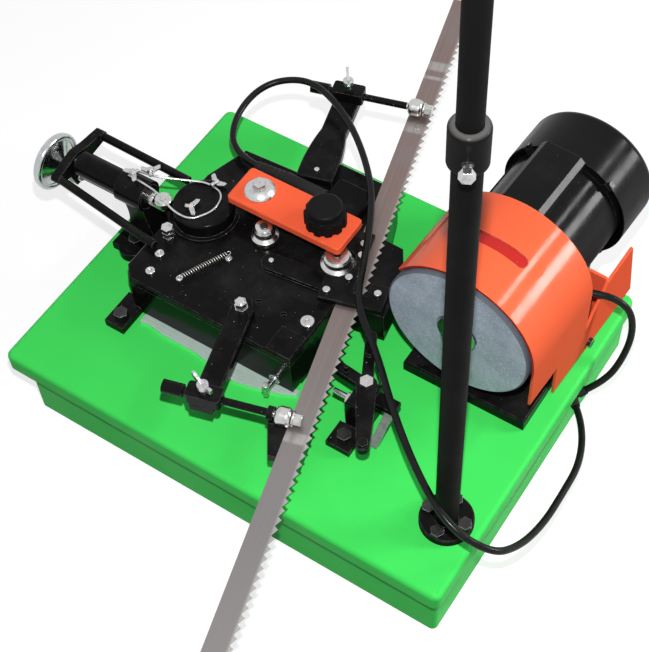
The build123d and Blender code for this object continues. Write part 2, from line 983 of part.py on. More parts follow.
# A sheet bracket behind the guard: a side plate and a cross wall that cradles the motor.
plate_plane = Plane(head_spot(guard_radius - bracket_sheet, 0, 0), x_dir=back_way, z_dir=right_way)
with BuildPart() as head_bracket:
    with BuildSketch(plate_plane):
        with BuildLine():
            Polyline(
                (guard_back + 2, wall_foot),
                (bracket_end, wall_foot),
                (bracket_tip_at, bracket_tip_height - wheel_axis_height),
                (bracket_wall_at, bracket_wall_top - bracket_sheet - wheel_axis_height),
                (guard_back + 2, bracket_front_height - wheel_axis_height),
                close=True,
            )
        make_face()
    extrude(amount=bracket_sheet)
    cradle_floor = base_plate_thickness - wheel_axis_height
    with BuildSketch(head_section(bracket_wall_at)):
        with BuildLine():
            Polyline(
                (bracket_wall_left, cradle_floor),
                (guard_radius - bracket_sheet, cradle_floor),
                (guard_radius - bracket_sheet, bracket_wall_top - wheel_axis_height),
                (bracket_wall_left, bracket_wall_top - wheel_axis_height),
                close=True,
            )
        make_face()
        Circle(motor_radius + motor_fin_height + roller_gap, mode=Mode.SUBTRACT)
        with Locations((0, -motor_radius - 1)):
            Rectangle(bracket_rest_width, bracket_rest_height)
        Circle(motor_radius, mode=Mode.SUBTRACT)
    extrude(amount=-bracket_sheet)
save(head_bracket, "head_bracket")

gland_way = right_way * cos(radians(gland_heading)) + back_way * sin(radians(gland_heading))
gland_root = Plane(head_spot(motor_radius - gland_root_depth, gland_at, -gland_drop), z_dir=gland_way)
gland_end = gland_root.origin + gland_way * gland_length

# Two rubber boots lead the cables through the right side of the skirt; a third gland is on the motor.
with BuildPart() as cable_glands:
    for y, way in ((boot_a_y, boot_a_way), (boot_b_y, boot_b_way)):
        wall = Plane(spot(skirt_right, y, boot_height), x_dir=(0, 1, 0), z_dir=(1, 0, 0))
        post(wall, boot_base_radius, boot_base_thickness)
        root = Plane(spot(skirt_right + boot_base_thickness / 2, y, boot_height), z_dir=way)
        with BuildSketch(root) as wide:
            Circle(boot_root_radius)
        with BuildSketch(shifted(root, boot_length)) as narrow:
            Circle(boot_tip_radius)
        loft([wide.sketch, narrow.sketch])
    split(bisect_by=Plane(spot(skirt_right, 0, 0), z_dir=(1, 0, 0)), keep=Keep.TOP)
    post(gland_root, gland_radius, gland_length)
    hexagon(shifted(gland_root, gland_nut_at), gland_nut_radius, gland_nut_width)
    post(head_section(bell_front), motor_radius, bell_front - motor_back, Mode.SUBTRACT)
save(cable_glands, "cable_glands")

# The feed unit's base is a cast box with two feet, a tongue for the plunger's pedestal and a lug.
feed_outline = [
    (feed_left + feed_corner_width, feed_front),
    (feed_right, feed_front),
    (feed_right, feed_waist),
    (feed_rear_right, feed_back),
    (feed_rear_left, feed_back),
    (feed_notch_x, feed_notch_y),
    (feed_shoulder_x, feed_shoulder_y),
    (feed_left, feed_flank),
    (feed_left, feed_front + feed_corner_depth),
]


def feed_profile():
    """The outline that the feed base and its top plate share."""
    with BuildLine() as outline:
        Polyline(*feed_outline, close=True)
    make_face(outline.edges())


with BuildPart() as feed_base:
    with BuildSketch(level(0, 0, 0)):
        feed_profile()
    extrude(amount=feed_base_height)
    with BuildSketch(level(0, 0, 0)):
        feed_profile()
        offset(amount=-feed_wall, kind=Kind.INTERSECTION, mode=Mode.REPLACE)
    extrude(amount=feed_base_height, mode=Mode.SUBTRACT)
    with BuildSketch(level(0, 0, 0)):
        with Locations(((tongue_end + feed_left) / 2, (tongue_front + tongue_back) / 2)):
            Rectangle(feed_left - tongue_end, tongue_back - tongue_front)
        with Locations((lug_x, lug_y - lug_radius / 2)):
            Circle(lug_radius)
        with Locations((foot_tab_x, feed_front - foot_tab_length / 2 + feed_wall / 2)):
            Rectangle(foot_tab_width, foot_tab_length + feed_wall)
        for x, y in foot_bolts_at:
            with Locations((x, y)):
                Circle(foot_bolt_shank, mode=Mode.SUBTRACT)
    extrude(amount=foot_tab_thickness)
    with BuildSketch(level((bar_left + feed_right) / 2, feed_front, 0)):
        Rectangle(feed_right - bar_left + 2 * bar_travel, 3 * feed_wall)
    extrude(amount=bar_thickness + roller_gap, mode=Mode.SUBTRACT)
save(feed_base, "feed_base")

with BuildPart() as feed_top_plate:
    with BuildSketch(level(0, 0, feed_base_height)):
        feed_profile()
        with Locations((drum_x, drum_y)):
            Circle(cam_shaft_radius + running_gap, mode=Mode.SUBTRACT)
    extrude(amount=feed_plate_thickness)
    chamfer(feed_top_plate.faces().sort_by(Axis.Z)[-1].outer_wire().edges(), plate_chamfer)
    for x in (plate_hole_left, plate_hole_right):
        post(level(x, plate_hole_y, feed_top), plate_hole_radius, -plate_hole_depth, Mode.SUBTRACT)
    with BuildSketch(level(corner_cover_x, corner_cover_y, feed_top)) as cover:
        Rectangle(corner_cover_width, corner_cover_depth)
    extrude(cover.sketch, amount=corner_cover_thickness)
    with BuildSketch(level(slide_x, slide_y, feed_top, slide_turn)) as slide:
        Circle(slide_width / 2)
        with Locations((slide_length / 2, 0)):
            Rectangle(slide_length, slide_width)
    extrude(slide.sketch, amount=slide_thickness)
save(feed_top_plate, "feed_top_plate")

# The cam drum turns on an upright shaft with a gear inside the base.
with BuildPart() as cam_drum:
    post(level(drum_x, drum_y, drum_flange_bottom), drum_flange_radius, drum_bottom - drum_flange_bottom)
    post(level(drum_x, drum_y, drum_bottom), drum_radius, drum_top - drum_bottom)
    fillet(cam_drum.faces().sort_by(Axis.Z)[-1].edges(), drum_round)
    post(level(drum_x, drum_y, cam_shaft_bottom), cam_shaft_radius, drum_flange_bottom - cam_shaft_bottom)
save(cam_drum, "cam_drum")

# The plunger's guide tube is held in a scooped pedestal with a stop rod for the adjusting screw.
tube_plane = Plane(spot(tube_left, plunger_y, plunger_height), x_dir=(0, 1, 0), z_dir=(1, 0, 0))
pedestal_floor = foot_tab_thickness
with BuildPart() as pedestal:
    with BuildSketch(Plane(spot(0, plunger_y, 0), x_dir=(1, 0, 0), z_dir=(0, -1, 0))):
        with BuildLine():
            scoop_low = (pedestal_left - pedestal_toe, pedestal_floor)
            scoop_high = (pedestal_left, plunger_height)
            RadiusArc(scoop_low, scoop_high, -pedestal_scoop_radius)
            Polyline(
                scoop_high,
                (pedestal_right, plunger_height),
                (pedestal_right + pedestal_heel, pedestal_floor),
                scoop_low,
            )
        make_face()
    extrude(amount=pedestal_half_width, both=True)
    post(
        Plane(
            spot(pedestal_left - pedestal_toe, plunger_y, plunger_height), x_dir=(0, 1, 0), z_dir=(1, 0, 0)
        ),
        pedestal_boss_radius,
        pedestal_boss_length,
    )
    post(tube_plane, tube_radius, pedestal_right + pedestal_heel - tube_left, Mode.SUBTRACT)
    post(
        Plane(spot(stop_rod_left, screw_y, screw_height), x_dir=(0, 1, 0), z_dir=(1, 0, 0)),
        stop_rod_radius,
        pedestal_right - stop_rod_left,
    )
save(pedestal, "pedestal")

with BuildPart() as guide_tube:
    with BuildSketch(tube_plane):
        Circle(tube_radius)
        Circle(plunger_radius + running_gap, mode=Mode.SUBTRACT)
    extrude(amount=tube_right - tube_left)
    chamfer(guide_tube.faces().sort_by(Axis.X)[0].edges(), edge_break)
save(guide_tube, "guide_tube")

follower_reach = drum_radius + follower_radius + roller_gap
follower_x = drum_x - sqrt(follower_reach**2 - (drum_y - plunger_y) ** 2)
with BuildPart() as plunger_rod:
    post(
        Plane(spot(yoke_left, plunger_y, plunger_height), x_dir=(0, 1, 0), z_dir=(1, 0, 0)),
        plunger_radius,
        plunger_end - yoke_left,
    )
    with BuildSketch(Plane(spot(0, plunger_y, plunger_height), x_dir=(1, 0, 0), z_dir=(0, -1, 0))):
        with Locations(((plunger_flat_start + plunger_end) / 2, plunger_radius / 2)):
            Rectangle(plunger_end - plunger_flat_start, plunger_radius)
    extrude(amount=plunger_radius, both=True, mode=Mode.SUBTRACT)
    post(level(follower_x, plunger_y, plunger_height), follower_pin, follower_width + 1)
save(plunger_rod, "plunger_rod")

with BuildPart() as follower_roller:
    with BuildSketch(level(follower_x, plunger_y, plunger_height + roller_gap)):
        Circle(follower_radius)
        Circle(follower_pin + running_gap, mode=Mode.SUBTRACT)
    extrude(amount=follower_width)
    chamfer(follower_roller.edges().filter_by(GeomType.CIRCLE).sort_by(SortBy.RADIUS)[-2:], edge_break)
save(follower_roller, "follower_roller")

# The yoke joins the plunger to two side rods and carries the adjusting screw below.
yoke_middle = (yoke_left + yoke_right) / 2
yoke_keel = screw_height - plunger_height - yoke_keel_drop
yoke_rods = (yoke_front + yoke_rod_radius - plunger_y, yoke_back - yoke_rod_radius - plunger_y)
with BuildPart() as yoke:
    with BuildSketch(Plane(spot(yoke_left, plunger_y, plunger_height), x_dir=(0, 1, 0), z_dir=(1, 0, 0))):
        with BuildLine():
            Polyline(
                (yoke_rods[0], -yoke_end_radius),
                (-yoke_root, -yoke_half_height),
                (-yoke_keel_half, yoke_keel),
                (yoke_keel_half, yoke_keel),
                (yoke_root, -yoke_half_height),
                (yoke_rods[1], -yoke_end_radius),
                (yoke_rods[1], yoke_end_radius),
                (yoke_root, yoke_half_height),
                (0, plunger_radius + yoke_peak),
                (-yoke_root, yoke_half_height),
                (yoke_rods[0], yoke_end_radius),
                close=True,
            )
        make_face()
        for across in yoke_rods:
            with Locations((across, 0)):
                Circle(yoke_end_radius)
        Circle(plunger_radius, mode=Mode.SUBTRACT)
        with Locations((screw_y - plunger_y, screw_height - plunger_height)):
            Circle(screw_radius + running_gap, mode=Mode.SUBTRACT)
    extrude(amount=yoke_right - yoke_left)
    for start, end in (
        (
            spot(yoke_middle, yoke_front + yoke_rod_radius, plunger_height),
            spot(yoke_front_rod_end, yoke_front_rod_end_y, yoke_front_rod_end_height),
        ),
        (
            spot(yoke_middle, yoke_back - yoke_rod_radius, plunger_height),
            spot(yoke_back_rod_end, yoke_back_rod_end_y, plunger_height),
        ),
    ):
        post(Plane(start, z_dir=end - start), yoke_rod_radius, (end - start).length)
save(yoke, "yoke")

screw_plane = Plane(spot(handwheel_hub_left, screw_y, screw_height), x_dir=(0, 1, 0), z_dir=(1, 0, 0))
with BuildPart() as adjusting_nut:
    with BuildSketch(Plane(spot(yoke_right, screw_y, screw_height), x_dir=(0, 1, 0), z_dir=(1, 0, 0))):
        Circle(screw_nut_radius)
        Circle(screw_radius + running_gap, mode=Mode.SUBTRACT)
    extrude(amount=screw_nut_width)
    chamfer(adjusting_nut.edges().filter_by(GeomType.CIRCLE).sort_by(SortBy.RADIUS)[-2:], 1)
save(adjusting_nut, "adjusting_nut")

# The handwheel is a spun dish: a hub, a flared cone and a thick rolled rim.
with BuildPart() as handwheel:
    with BuildSketch(Plane(spot(handwheel_left, screw_y, screw_height), x_dir=(1, 0, 0), z_dir=(0, -1, 0))):
        hub_at = handwheel_hub_left - handwheel_left
        cup_at = hub_at - handwheel_cup
        hub_end = yoke_left - roller_gap - handwheel_left
        with BuildLine():
            Polyline(
                (hub_at, screw_radius),
                (hub_end, screw_radius),
                (hub_end, handwheel_hub_radius),
                (hub_at, handwheel_hub_radius),
                (handwheel_rim - 1, handwheel_radius - handwheel_lip),
            )
            ThreePointArc(
                (handwheel_rim - 1, handwheel_radius - handwheel_lip),
                (handwheel_rim, handwheel_radius),
                (handwheel_rim / 2, handwheel_radius + handwheel_crown),
            )
            ThreePointArc(
                (handwheel_rim / 2, handwheel_radius + handwheel_crown),
                (0, handwheel_radius - 1),
                (1, handwheel_radius - handwheel_dish),
            )
            Line((1, handwheel_radius - handwheel_dish), (cup_at, handwheel_hub_radius - 2))
            Line((cup_at, handwheel_hub_radius - 2), (cup_at, 0))
            Line((cup_at, 0), (hub_at, 0))
            Line((hub_at, 0), (hub_at, screw_radius))
        make_face()
    revolve(axis=Axis(spot(0, screw_y, screw_height), (1, 0, 0)))
    post(screw_plane, screw_radius, screw_right - handwheel_hub_left)
save(handwheel, "handwheel")

# The orange clamp arm slides under its pivot bolt and star knob on two posts.
with BuildPart() as clamp_arm:
    with BuildSketch(level(0, 0, arm_bottom)):
        with Locations(((arm_left + arm_right) / 2, (arm_front + arm_back) / 2)):
            RectangleRounded(arm_right - arm_left, arm_back - arm_front, arm_corner)
        for x in (arm_pivot_x, arm_knob_x):
            with Locations((x + arm_travel / 2, arm_bolt_y)):
                SlotOverall(
                    arm_travel + 2 * arm_bolt_radius + 1, 2 * arm_bolt_radius + 1, mode=Mode.SUBTRACT
                )
    extrude(amount=arm_thickness)
    chamfer(clamp_arm.faces().sort_by(Axis.Z)[-1].outer_wire().edges(), edge_break)
save(clamp_arm, "clamp_arm")

arm_top = arm_bottom + arm_thickness
with BuildPart() as pivot_bolt:
    with BuildSketch(Plane(spot(arm_pivot_x, arm_bolt_y, arm_top), x_dir=(1, 0, 0), z_dir=(0, -1, 0))):
        with BuildLine():
            Polyline(
                (arm_bolt_radius, 0),
                (cone_low_radius, 0),
                (cone_low_radius, cone_edge),
            )
            RadiusArc((cone_low_radius, cone_edge), (cone_high_radius, cone_height), -cone_hollow)
            Polyline((cone_high_radius, cone_height), (arm_bolt_radius, cone_height), (arm_bolt_radius, 0))
        make_face()
    revolve(axis=Axis(spot(arm_pivot_x, arm_bolt_y, 0), (0, 0, 1)))
    with BuildSketch(level(arm_knob_x, arm_bolt_y, arm_top)):
        Circle(knob_washer_radius)
        Circle(arm_bolt_radius + running_gap, mode=Mode.SUBTRACT)
    extrude(amount=knob_washer)
    bolt_seat = level(arm_pivot_x, arm_bolt_y, arm_top + cone_height)
    hexagon(bolt_seat, pivot_head_radius, pivot_head_height)
    post(bolt_seat, arm_bolt_radius, -arm_thickness - cone_height - pivot_bolt_grip)
save(pivot_bolt, "pivot_bolt")

# The star knob has a fluted skirt, a round cap and a threaded stud.
knob_bottom = arm_top + knob_washer
with BuildPart() as star_knob:
    with BuildSketch(level(arm_knob_x, arm_bolt_y, knob_bottom)):
        Circle(knob_radius)
        with PolarLocations(knob_radius + knob_flute_radius - knob_flute_depth, knob_flutes):
            Circle(knob_flute_radius, mode=Mode.SUBTRACT)
    extrude(amount=knob_height)
    post(level(arm_knob_x, arm_bolt_y, knob_bottom + knob_height), knob_cap_radius, knob_cap_height)
    fillet(star_knob.faces().sort_by(Axis.Z)[-1].edges(), knob_round)
    stud_length = knob_washer + arm_thickness + knob_stud_reach
    post(level(arm_knob_x, arm_bolt_y, knob_bottom), arm_bolt_radius, -stud_length)
save(star_knob, "star_knob")

# Two guide rollers stand on the plate; the right one has a flange over the blade's back edge.
roller_2_hub = -roller_2_u - blade_half_width - roller_gap
roller_2_at = blade_spot(roller_2_u, roller_2_v, feed_top)
with BuildPart() as plate_pillars:
    for x in (arm_pivot_x, arm_knob_x):
        with BuildSketch(level(x, arm_bolt_y, feed_top)) as ring:
            Circle(arm_post_radius)
            Circle(arm_bolt_radius + running_gap, mode=Mode.SUBTRACT)
        extrude(ring.sketch, amount=arm_bottom - feed_top)
    post(level(roller_1_x, roller_1_y, feed_top), roller_axle, roller_2_height - feed_top + 1)
    post(level(roller_1_x, roller_1_y, feed_top), roller_axle_head, roller_axle_shoulder)
    post(blade_level(roller_2_u, roller_2_v, feed_top), roller_axle, roller_2_height - feed_top + 1)
    post(blade_level(roller_2_u, roller_2_v, feed_top), roller_axle_head, roller_axle_shoulder)
save(plate_pillars, "plate_pillars")

roller_low = feed_top + roller_axle_shoulder + roller_gap
with BuildPart() as left_roller:
    with BuildSketch(Plane(spot(roller_1_x, roller_1_y, roller_low), x_dir=(1, 0, 0), z_dir=(0, -1, 0))):
        tall = roller_2_height - roller_low
        with BuildLine():
            Polyline(
                (roller_axle + running_gap, 0),
                (roller_1_radius, 0),
                (roller_1_radius, roller_1_flange),
                (roller_1_radius - roller_1_neck, roller_1_flange + roller_1_slope),
                (roller_1_radius - roller_1_neck, tall - roller_crown),
                (roller_1_radius - roller_1_neck - roller_crown_step, tall),
                (roller_axle + running_gap, tall),
                close=True,
            )
        make_face()
    revolve(axis=Axis(spot(roller_1_x, roller_1_y, 0), (0, 0, 1)))
save(left_roller, "left_roller")

flange_low = blade_bottom + blade_thickness + blade_lift - feed_top
with BuildPart() as blade_roller:
    with BuildSketch(Plane(roller_2_at, x_dir=(1, 0, 0), z_dir=(0, -1, 0))):
        with BuildLine():
            Polyline(
                (roller_axle + running_gap, roller_low - feed_top),
                (roller_2_hub, roller_low - feed_top),
                (roller_2_hub, flange_low),
                (roller_2_flange, flange_low),
                (roller_2_flange, flange_low + roller_2_flange_edge),
                (roller_2_body, flange_low + roller_2_flange_edge + roller_2_slope),
                (roller_2_body, roller_2_height - feed_top - roller_crown_step),
                (roller_2_body - roller_crown_step, roller_2_height - feed_top),
                (roller_axle + running_gap, roller_2_height - feed_top),
                close=True,
            )
        make_face()
    revolve(axis=Axis(roller_2_at, (0, 0, 1)))
save(blade_roller, "blade_roller")

# The blade is a flat band with hooked teeth along its right edge.
with BuildPart() as saw_blade:
    teeth = []
    for number in range(blade_teeth):
        at = blade_front + number * blade_pitch
        teeth.append((blade_half_width - blade_tooth, at))
        teeth.append((blade_half_width, at + blade_pitch * tooth_rise))
        teeth.append((blade_half_width - blade_tooth * tooth_shoulder, at + blade_pitch * tooth_fall))
    blade_back = blade_front + blade_teeth * blade_pitch
    with BuildSketch(blade_level(0, 0, blade_bottom)):
        with BuildLine():
            Polyline(
                (-blade_half_width, blade_front),
                *teeth,
                (blade_half_width - blade_tooth, blade_back),
                (-blade_half_width, blade_back),
                close=True,
            )
        make_face()
    extrude(amount=blade_thickness)
save(saw_blade, "saw_blade")

# The saddle carries the blade beside the wheel; the clamp plate bridges it and holds it down.
saddle_corner_back = blade_spot(saddle_right - saddle_taper, saddle_back, 0) - spot(0, 0, 0)
saddle_corner_middle = blade_spot(saddle_belly, saddle_belly_v, 0) - spot(0, 0, 0)
saddle_corner_front = blade_spot(saddle_right, saddle_front, 0) - spot(0, 0, 0)
with BuildPart() as blade_saddle:
    with BuildSketch(level(0, 0, saddle_bottom)):
        with BuildLine():
            Polyline(
                (feed_right, saddle_front + 2),
                (saddle_corner_front.X, saddle_corner_front.Y),
                (saddle_corner_middle.X, saddle_corner_middle.Y),
                (saddle_corner_back.X, saddle_corner_back.Y),
                (feed_right, saddle_back + saddle_overrun),
                close=True,
            )
        make_face()
    extrude(amount=blade_bottom - blade_lift - saddle_bottom)
    chamfer(blade_saddle.faces().sort_by(Axis.Z)[0].edges(), saddle_chamfer)
save(blade_saddle, "blade_saddle")

clamp_low = blade_bottom + blade_thickness + blade_lift
with BuildPart() as clamp_plate:
    with BuildSketch(blade_level(0, 0, clamp_low)):
        with BuildLine():
            Polyline(
                (clamp_plate_left, clamp_plate_front),
                (clamp_block_right, clamp_plate_front),
                (clamp_block_right, clamp_block_back),
                (clamp_block_left, clamp_block_back),
                (clamp_block_left, clamp_plate_front + clamp_bridge_width),
                (clamp_plate_right, clamp_plate_front + clamp_bridge_width),
                (clamp_plate_right, clamp_plate_back),
                (clamp_plate_left, clamp_plate_back),
                close=True,
            )
        make_face()
        with Locations((roller_2_u, roller_2_v)):
            Circle(roller_2_flange + 1, mode=Mode.SUBTRACT)
            with Locations((-roller_2_flange, 0)):
                Rectangle(2 * roller_2_flange, 2 * roller_2_flange + 2, mode=Mode.SUBTRACT)
    extrude(amount=clamp_plate_thickness)
    chamfer(clamp_plate.faces().sort_by(Axis.Z)[-1].edges(), edge_break)
    clamp_feet_u = clamp_plate_left + clamp_foot_width / 2
    clamp_front_v = clamp_plate_front + clamp_foot_length
    clamp_back_v = clamp_plate_back - clamp_foot_length / 2
    clamp_block_u = (clamp_block_left + clamp_block_right) / 2
    clamp_block_v = (clamp_plate_front + clamp_block_back) / 2
    with BuildSketch(blade_level(clamp_feet_u, clamp_front_v, feed_top + slide_thickness)) as front_foot:
        Rectangle(clamp_foot_width, clamp_foot_length)
    extrude(front_foot.sketch, amount=clamp_low - feed_top - slide_thickness)
    with BuildSketch(blade_level(clamp_feet_u, clamp_back_v, feed_top)) as back_foot:
        Rectangle(clamp_foot_width, clamp_foot_length)
    extrude(back_foot.sketch, amount=clamp_low - feed_top)
    with BuildSketch(blade_level(clamp_block_u, clamp_block_v, blade_bottom - blade_lift)) as block_foot:
        Rectangle(clamp_block_right - clamp_block_left, clamp_block_back - clamp_plate_front)
    extrude(block_foot.sketch, amount=clamp_low - blade_bottom + blade_lift)
save(clamp_plate, "clamp_plate")


# Each guide arm carries a block, a sliding rod with a roller on its end and a wing screw.
arm_low = feed_top
arm_high = feed_top + guide_arm_thickness
with BuildPart() as guide_arms:
    with BuildSketch(blade_level(front_arm_u, 0, arm_low)):
        with BuildLine():
            half = guide_arm_width / 2
            tip = front_rod_v - guide_block_depth / 2
            Polyline(
                (-half, tip),
                (half, tip),
                (half, front_arm_root - half),
                (half / 2, front_arm_root),
                (-half / 2, front_arm_root),
                (-half, front_arm_root - half),
                close=True,
            )
        make_face()
    extrude(amount=guide_arm_thickness)
    with BuildSketch(blade_level(rear_arm_u, 0, arm_low)):
        with BuildLine():
            half = rear_arm_width / 2
            root = rear_arm_root_width / 2
            tip = rear_rod_v + guide_block_depth / 2
            Polyline((-half, rear_arm_straight), (-half, tip), (half, tip), (half, rear_arm_straight))
            RadiusArc((half, rear_arm_straight), (root, rear_arm_root), rear_arm_curve)
            Line((root, rear_arm_root), (-root, rear_arm_root))
            RadiusArc((-root, rear_arm_root), (-half, rear_arm_straight), rear_arm_curve)
        make_face()
    extrude(amount=guide_arm_thickness)
    chamfer(guide_arms.faces().group_by(Axis.Z)[-1].edges(), 1)
save(guide_arms, "guide_arms")


def guide_block(u, v):
    """The block that clamps a guide rod on its arm."""
    with BuildSketch(blade_level(u, v, arm_high)) as outline:
        RectangleRounded(guide_block_width, guide_block_depth, guide_block_corner)
    extrude(outline.sketch, amount=guide_block_height)
    bore = blade_side(u - guide_block_width, v, guide_rod_height)
    post(bore, guide_rod_radius + running_gap, 2 * guide_block_width, Mode.SUBTRACT)
    tap = blade_level(u, v, guide_rod_height + guide_rod_radius)
    post(tap, wing_shank + running_gap, guide_block_height, Mode.SUBTRACT)


def guide_rod(u, v, end):
    """The rod: a thick grip behind the block, a plain shank, a neck and a bolt head."""
    grip_end = u - guide_block_width / 2 - guide_rod_spare
    post(blade_side(grip_end - guide_rod_grip, v, guide_rod_height), guide_rod_grip_radius, guide_rod_grip)
    post(blade_side(grip_end, v, guide_rod_height), guide_rod_radius, end - grip_end)
    post(blade_side(end, v, guide_rod_height), guide_roller_neck, guide_roller_width + 2 * roller_gap)
    head = blade_side(end + guide_roller_width + 2 * roller_gap, v, guide_rod_height)
    post(head, guide_bolt_radius + guide_washer, guide_washer)
    hexagon(shifted(head, guide_washer), guide_bolt_radius, guide_bolt_height - guide_washer)


def guide_roller(v, end):
    """The bright roller between the rod's shoulder and its bolt."""
    with BuildSketch(blade_side(end + roller_gap, v, guide_rod_height)) as ring:
        Circle(guide_roller_radius)
        Circle(guide_roller_neck + running_gap, mode=Mode.SUBTRACT)
    extrude(ring.sketch, amount=guide_roller_width)


def guide_wing(u, v, turn):
    """The wing screw that locks the rod in its block."""
    seat = blade_level(u, v, arm_high + guide_block_height)
    depth = arm_high + guide_block_height - guide_rod_height - guide_rod_radius - roller_gap
    post(seat, wing_shank, -depth)
    wing_screw(seat, turn)


front_block_u = front_arm_u + 2
rear_block_u = rear_arm_u + 1
with BuildPart() as guide_blocks:
    guide_block(front_block_u, front_rod_v)
    guide_block(rear_block_u, rear_rod_v)
save(guide_blocks, "guide_blocks")

with BuildPart() as front_guide_rod:
    guide_rod(front_block_u, front_rod_v, front_rod_end)
save(front_guide_rod, "front_guide_rod")

with BuildPart() as rear_guide_rod:
    guide_rod(rear_block_u, rear_rod_v, rear_rod_end)
save(rear_guide_rod, "rear_guide_rod")

with BuildPart() as front_guide_roller:
    guide_roller(front_rod_v, front_rod_end)
    rims = front_guide_roller.edges().filter_by(GeomType.CIRCLE).sort_by(SortBy.RADIUS)[-2:]
    fillet(rims, guide_roller_round)
save(front_guide_roller, "front_guide_roller")

with BuildPart() as rear_guide_roller:
    guide_roller(rear_rod_v, rear_rod_end)
    rims = rear_guide_roller.edges().filter_by(GeomType.CIRCLE).sort_by(SortBy.RADIUS)[-2:]
    fillet(rims, guide_roller_round)
save(rear_guide_roller, "rear_guide_roller")

with BuildPart() as front_wing_screw:
    guide_wing(front_block_u, front_rod_v, front_wing_turn)
save(front_wing_screw, "front_wing_screw")

with BuildPart() as rear_wing_screw:
    guide_wing(rear_block_u, rear_rod_v, rear_wing_turn)
save(rear_wing_screw, "rear_wing_screw")

# A small shelf hangs from the front rod and supports the blade from below.
rest_top = blade_bottom - blade_lift
rest_ring_u = front_rod_end - rest_hanger
with BuildPart() as blade_rest:
    rest_ring = blade_side(rest_ring_u, front_rod_v, guide_rod_height)
    post(rest_ring, guide_rod_radius + rest_ring_wall, rest_hanger - 1)
    with BuildSketch(rest_ring):
        with Locations((0, (rest_top - rest_thickness - guide_rod_height) / 2)):
            Rectangle(2 * guide_rod_radius, guide_rod_height - rest_top + rest_thickness)
    extrude(amount=rest_hanger - 1)
    post(rest_ring, guide_rod_radius, rest_hanger, Mode.SUBTRACT)
    with BuildSketch(blade_level(0, 0, rest_top - rest_thickness)):
        with BuildLine():
            back = front_rod_v + guide_rod_radius
            Polyline(
                (rest_ring_u, back),
                (rest_ring_u, front_rod_v - guide_rod_radius),
                (rest_left, rest_front),
                (rest_right, rest_front),
                (rest_right, back),
                close=True,
            )
        make_face()
    extrude(amount=rest_thickness)
save(blade_rest, "blade_rest")

# The feed pawl is a three-armed crank on an upright bracket; its pin pushes the blade's teeth.
pawl_finger = blade_spot(pawl_finger_u, pawl_finger_v, 0) - spot(0, 0, 0)
with BuildPart() as feed_pawl:
    with BuildSketch(level(pawl_x, pawl_y, pawl_bottom)):
        Circle(pawl_hub)
        tail = (pawl_tail_x - pawl_x, pawl_tail_y - pawl_y)
        finger = (pawl_finger.X - pawl_x, pawl_finger.Y - pawl_y)
        for x, y in (tail, finger):
            SlotCenterPoint((x / 2, y / 2), (x, y), 2 * pawl_half_width)
        reach = Vector(pawl_arm_tip_x - pawl_x, pawl_arm_tip_y - pawl_y)
        side = Vector(-reach.Y, reach.X).normalized()
        with BuildLine():
            Polyline(
                side * pawl_hub,
                reach + side * pawl_arm_tip_radius,
                reach - side * pawl_arm_tip_radius,
                side * -pawl_hub,
                close=True,
            )
        make_face()
        with Locations(reach):
            Circle(pawl_arm_tip_radius)
        Circle(pawl_bolt_radius + running_gap, mode=Mode.SUBTRACT)
    extrude(amount=pawl_thickness)
    post(
        blade_level(pawl_tooth_u, pawl_tooth_v, pawl_bottom + pawl_thickness),
        pawl_tooth_radius,
        blade_bottom + blade_thickness - pawl_bottom - pawl_thickness,
    )
    for share in (0.62, 0.9):
        x = pawl_x + (pawl_tail_x - pawl_x) * share
        y = pawl_y + (pawl_tail_y - pawl_y) * share
        hexagon(level(x, y, pawl_bottom + pawl_thickness), pawl_screw_radius, pawl_screw_radius)
    arm_tip = level(pawl_arm_tip_x, pawl_arm_tip_y, pawl_bottom + pawl_thickness)
    hexagon(arm_tip, pawl_arm_bolt_radius, pawl_screw_radius)
save(feed_pawl, "feed_pawl")

with BuildPart() as pawl_bracket:
    with BuildSketch(level(pawl_foot_x, pawl_foot_y, 0)):
        Rectangle(pawl_foot_size, pawl_foot_size)
        Circle(foot_bolt_shank, mode=Mode.SUBTRACT)
    extrude(amount=pawl_foot_thickness)
    post_front = pawl_foot_y + pawl_foot_size / 2
    with BuildSketch(level(pawl_x, post_front + bracket_post_depth / 2, 0)):
        Rectangle(bracket_post_width, bracket_post_depth)
    extrude(amount=pawl_bottom - roller_gap)
    chamfer(pawl_bracket.faces().sort_by(Axis.Z)[-1].edges(), plate_chamfer)
    with BuildSketch(level((pawl_x + pawl_arm_end) / 2, pawl_y, pawl_arm_bottom)):
        Rectangle(pawl_arm_end - pawl_x, pawl_arm_width)
    extrude(amount=pawl_arm_thickness)
    post(level(pawl_x, pawl_y, pawl_arm_bottom), pawl_bolt_radius, pawl_bottom, Mode.SUBTRACT)
    stop_y = pawl_y - stop_screw_offset
    stop = Plane(spot(pawl_x, stop_y, stop_screw_height), x_dir=(0, 1, 0), z_dir=(-1, 0, 0))
    post(stop, stop_screw_radius, bracket_post_width, Mode.SUBTRACT)
save(pawl_bracket, "pawl_bracket")

strut_top = spot(pawl_arm_end - strut_top_inset, pawl_y - strut_top_inset / 2, pawl_arm_bottom)
strut_foot = spot(strut_foot_x, strut_foot_y, 0)
with BuildPart() as link_strut:
    lean = strut_foot - strut_top
    strut_side = lean.cross(Vector(1, 0, 0)).normalized()
    with BuildSketch(Plane((strut_top + strut_foot) * 0.5, x_dir=strut_side, z_dir=lean)):
        Rectangle(strut_thickness, strut_width)
    extrude(amount=lean.length, both=True)
    split(bisect_by=Plane(strut_top, z_dir=up), keep=Keep.BOTTOM)
    split(bisect_by=Plane(strut_foot, z_dir=up), keep=Keep.TOP)
save(link_strut, "link_strut")

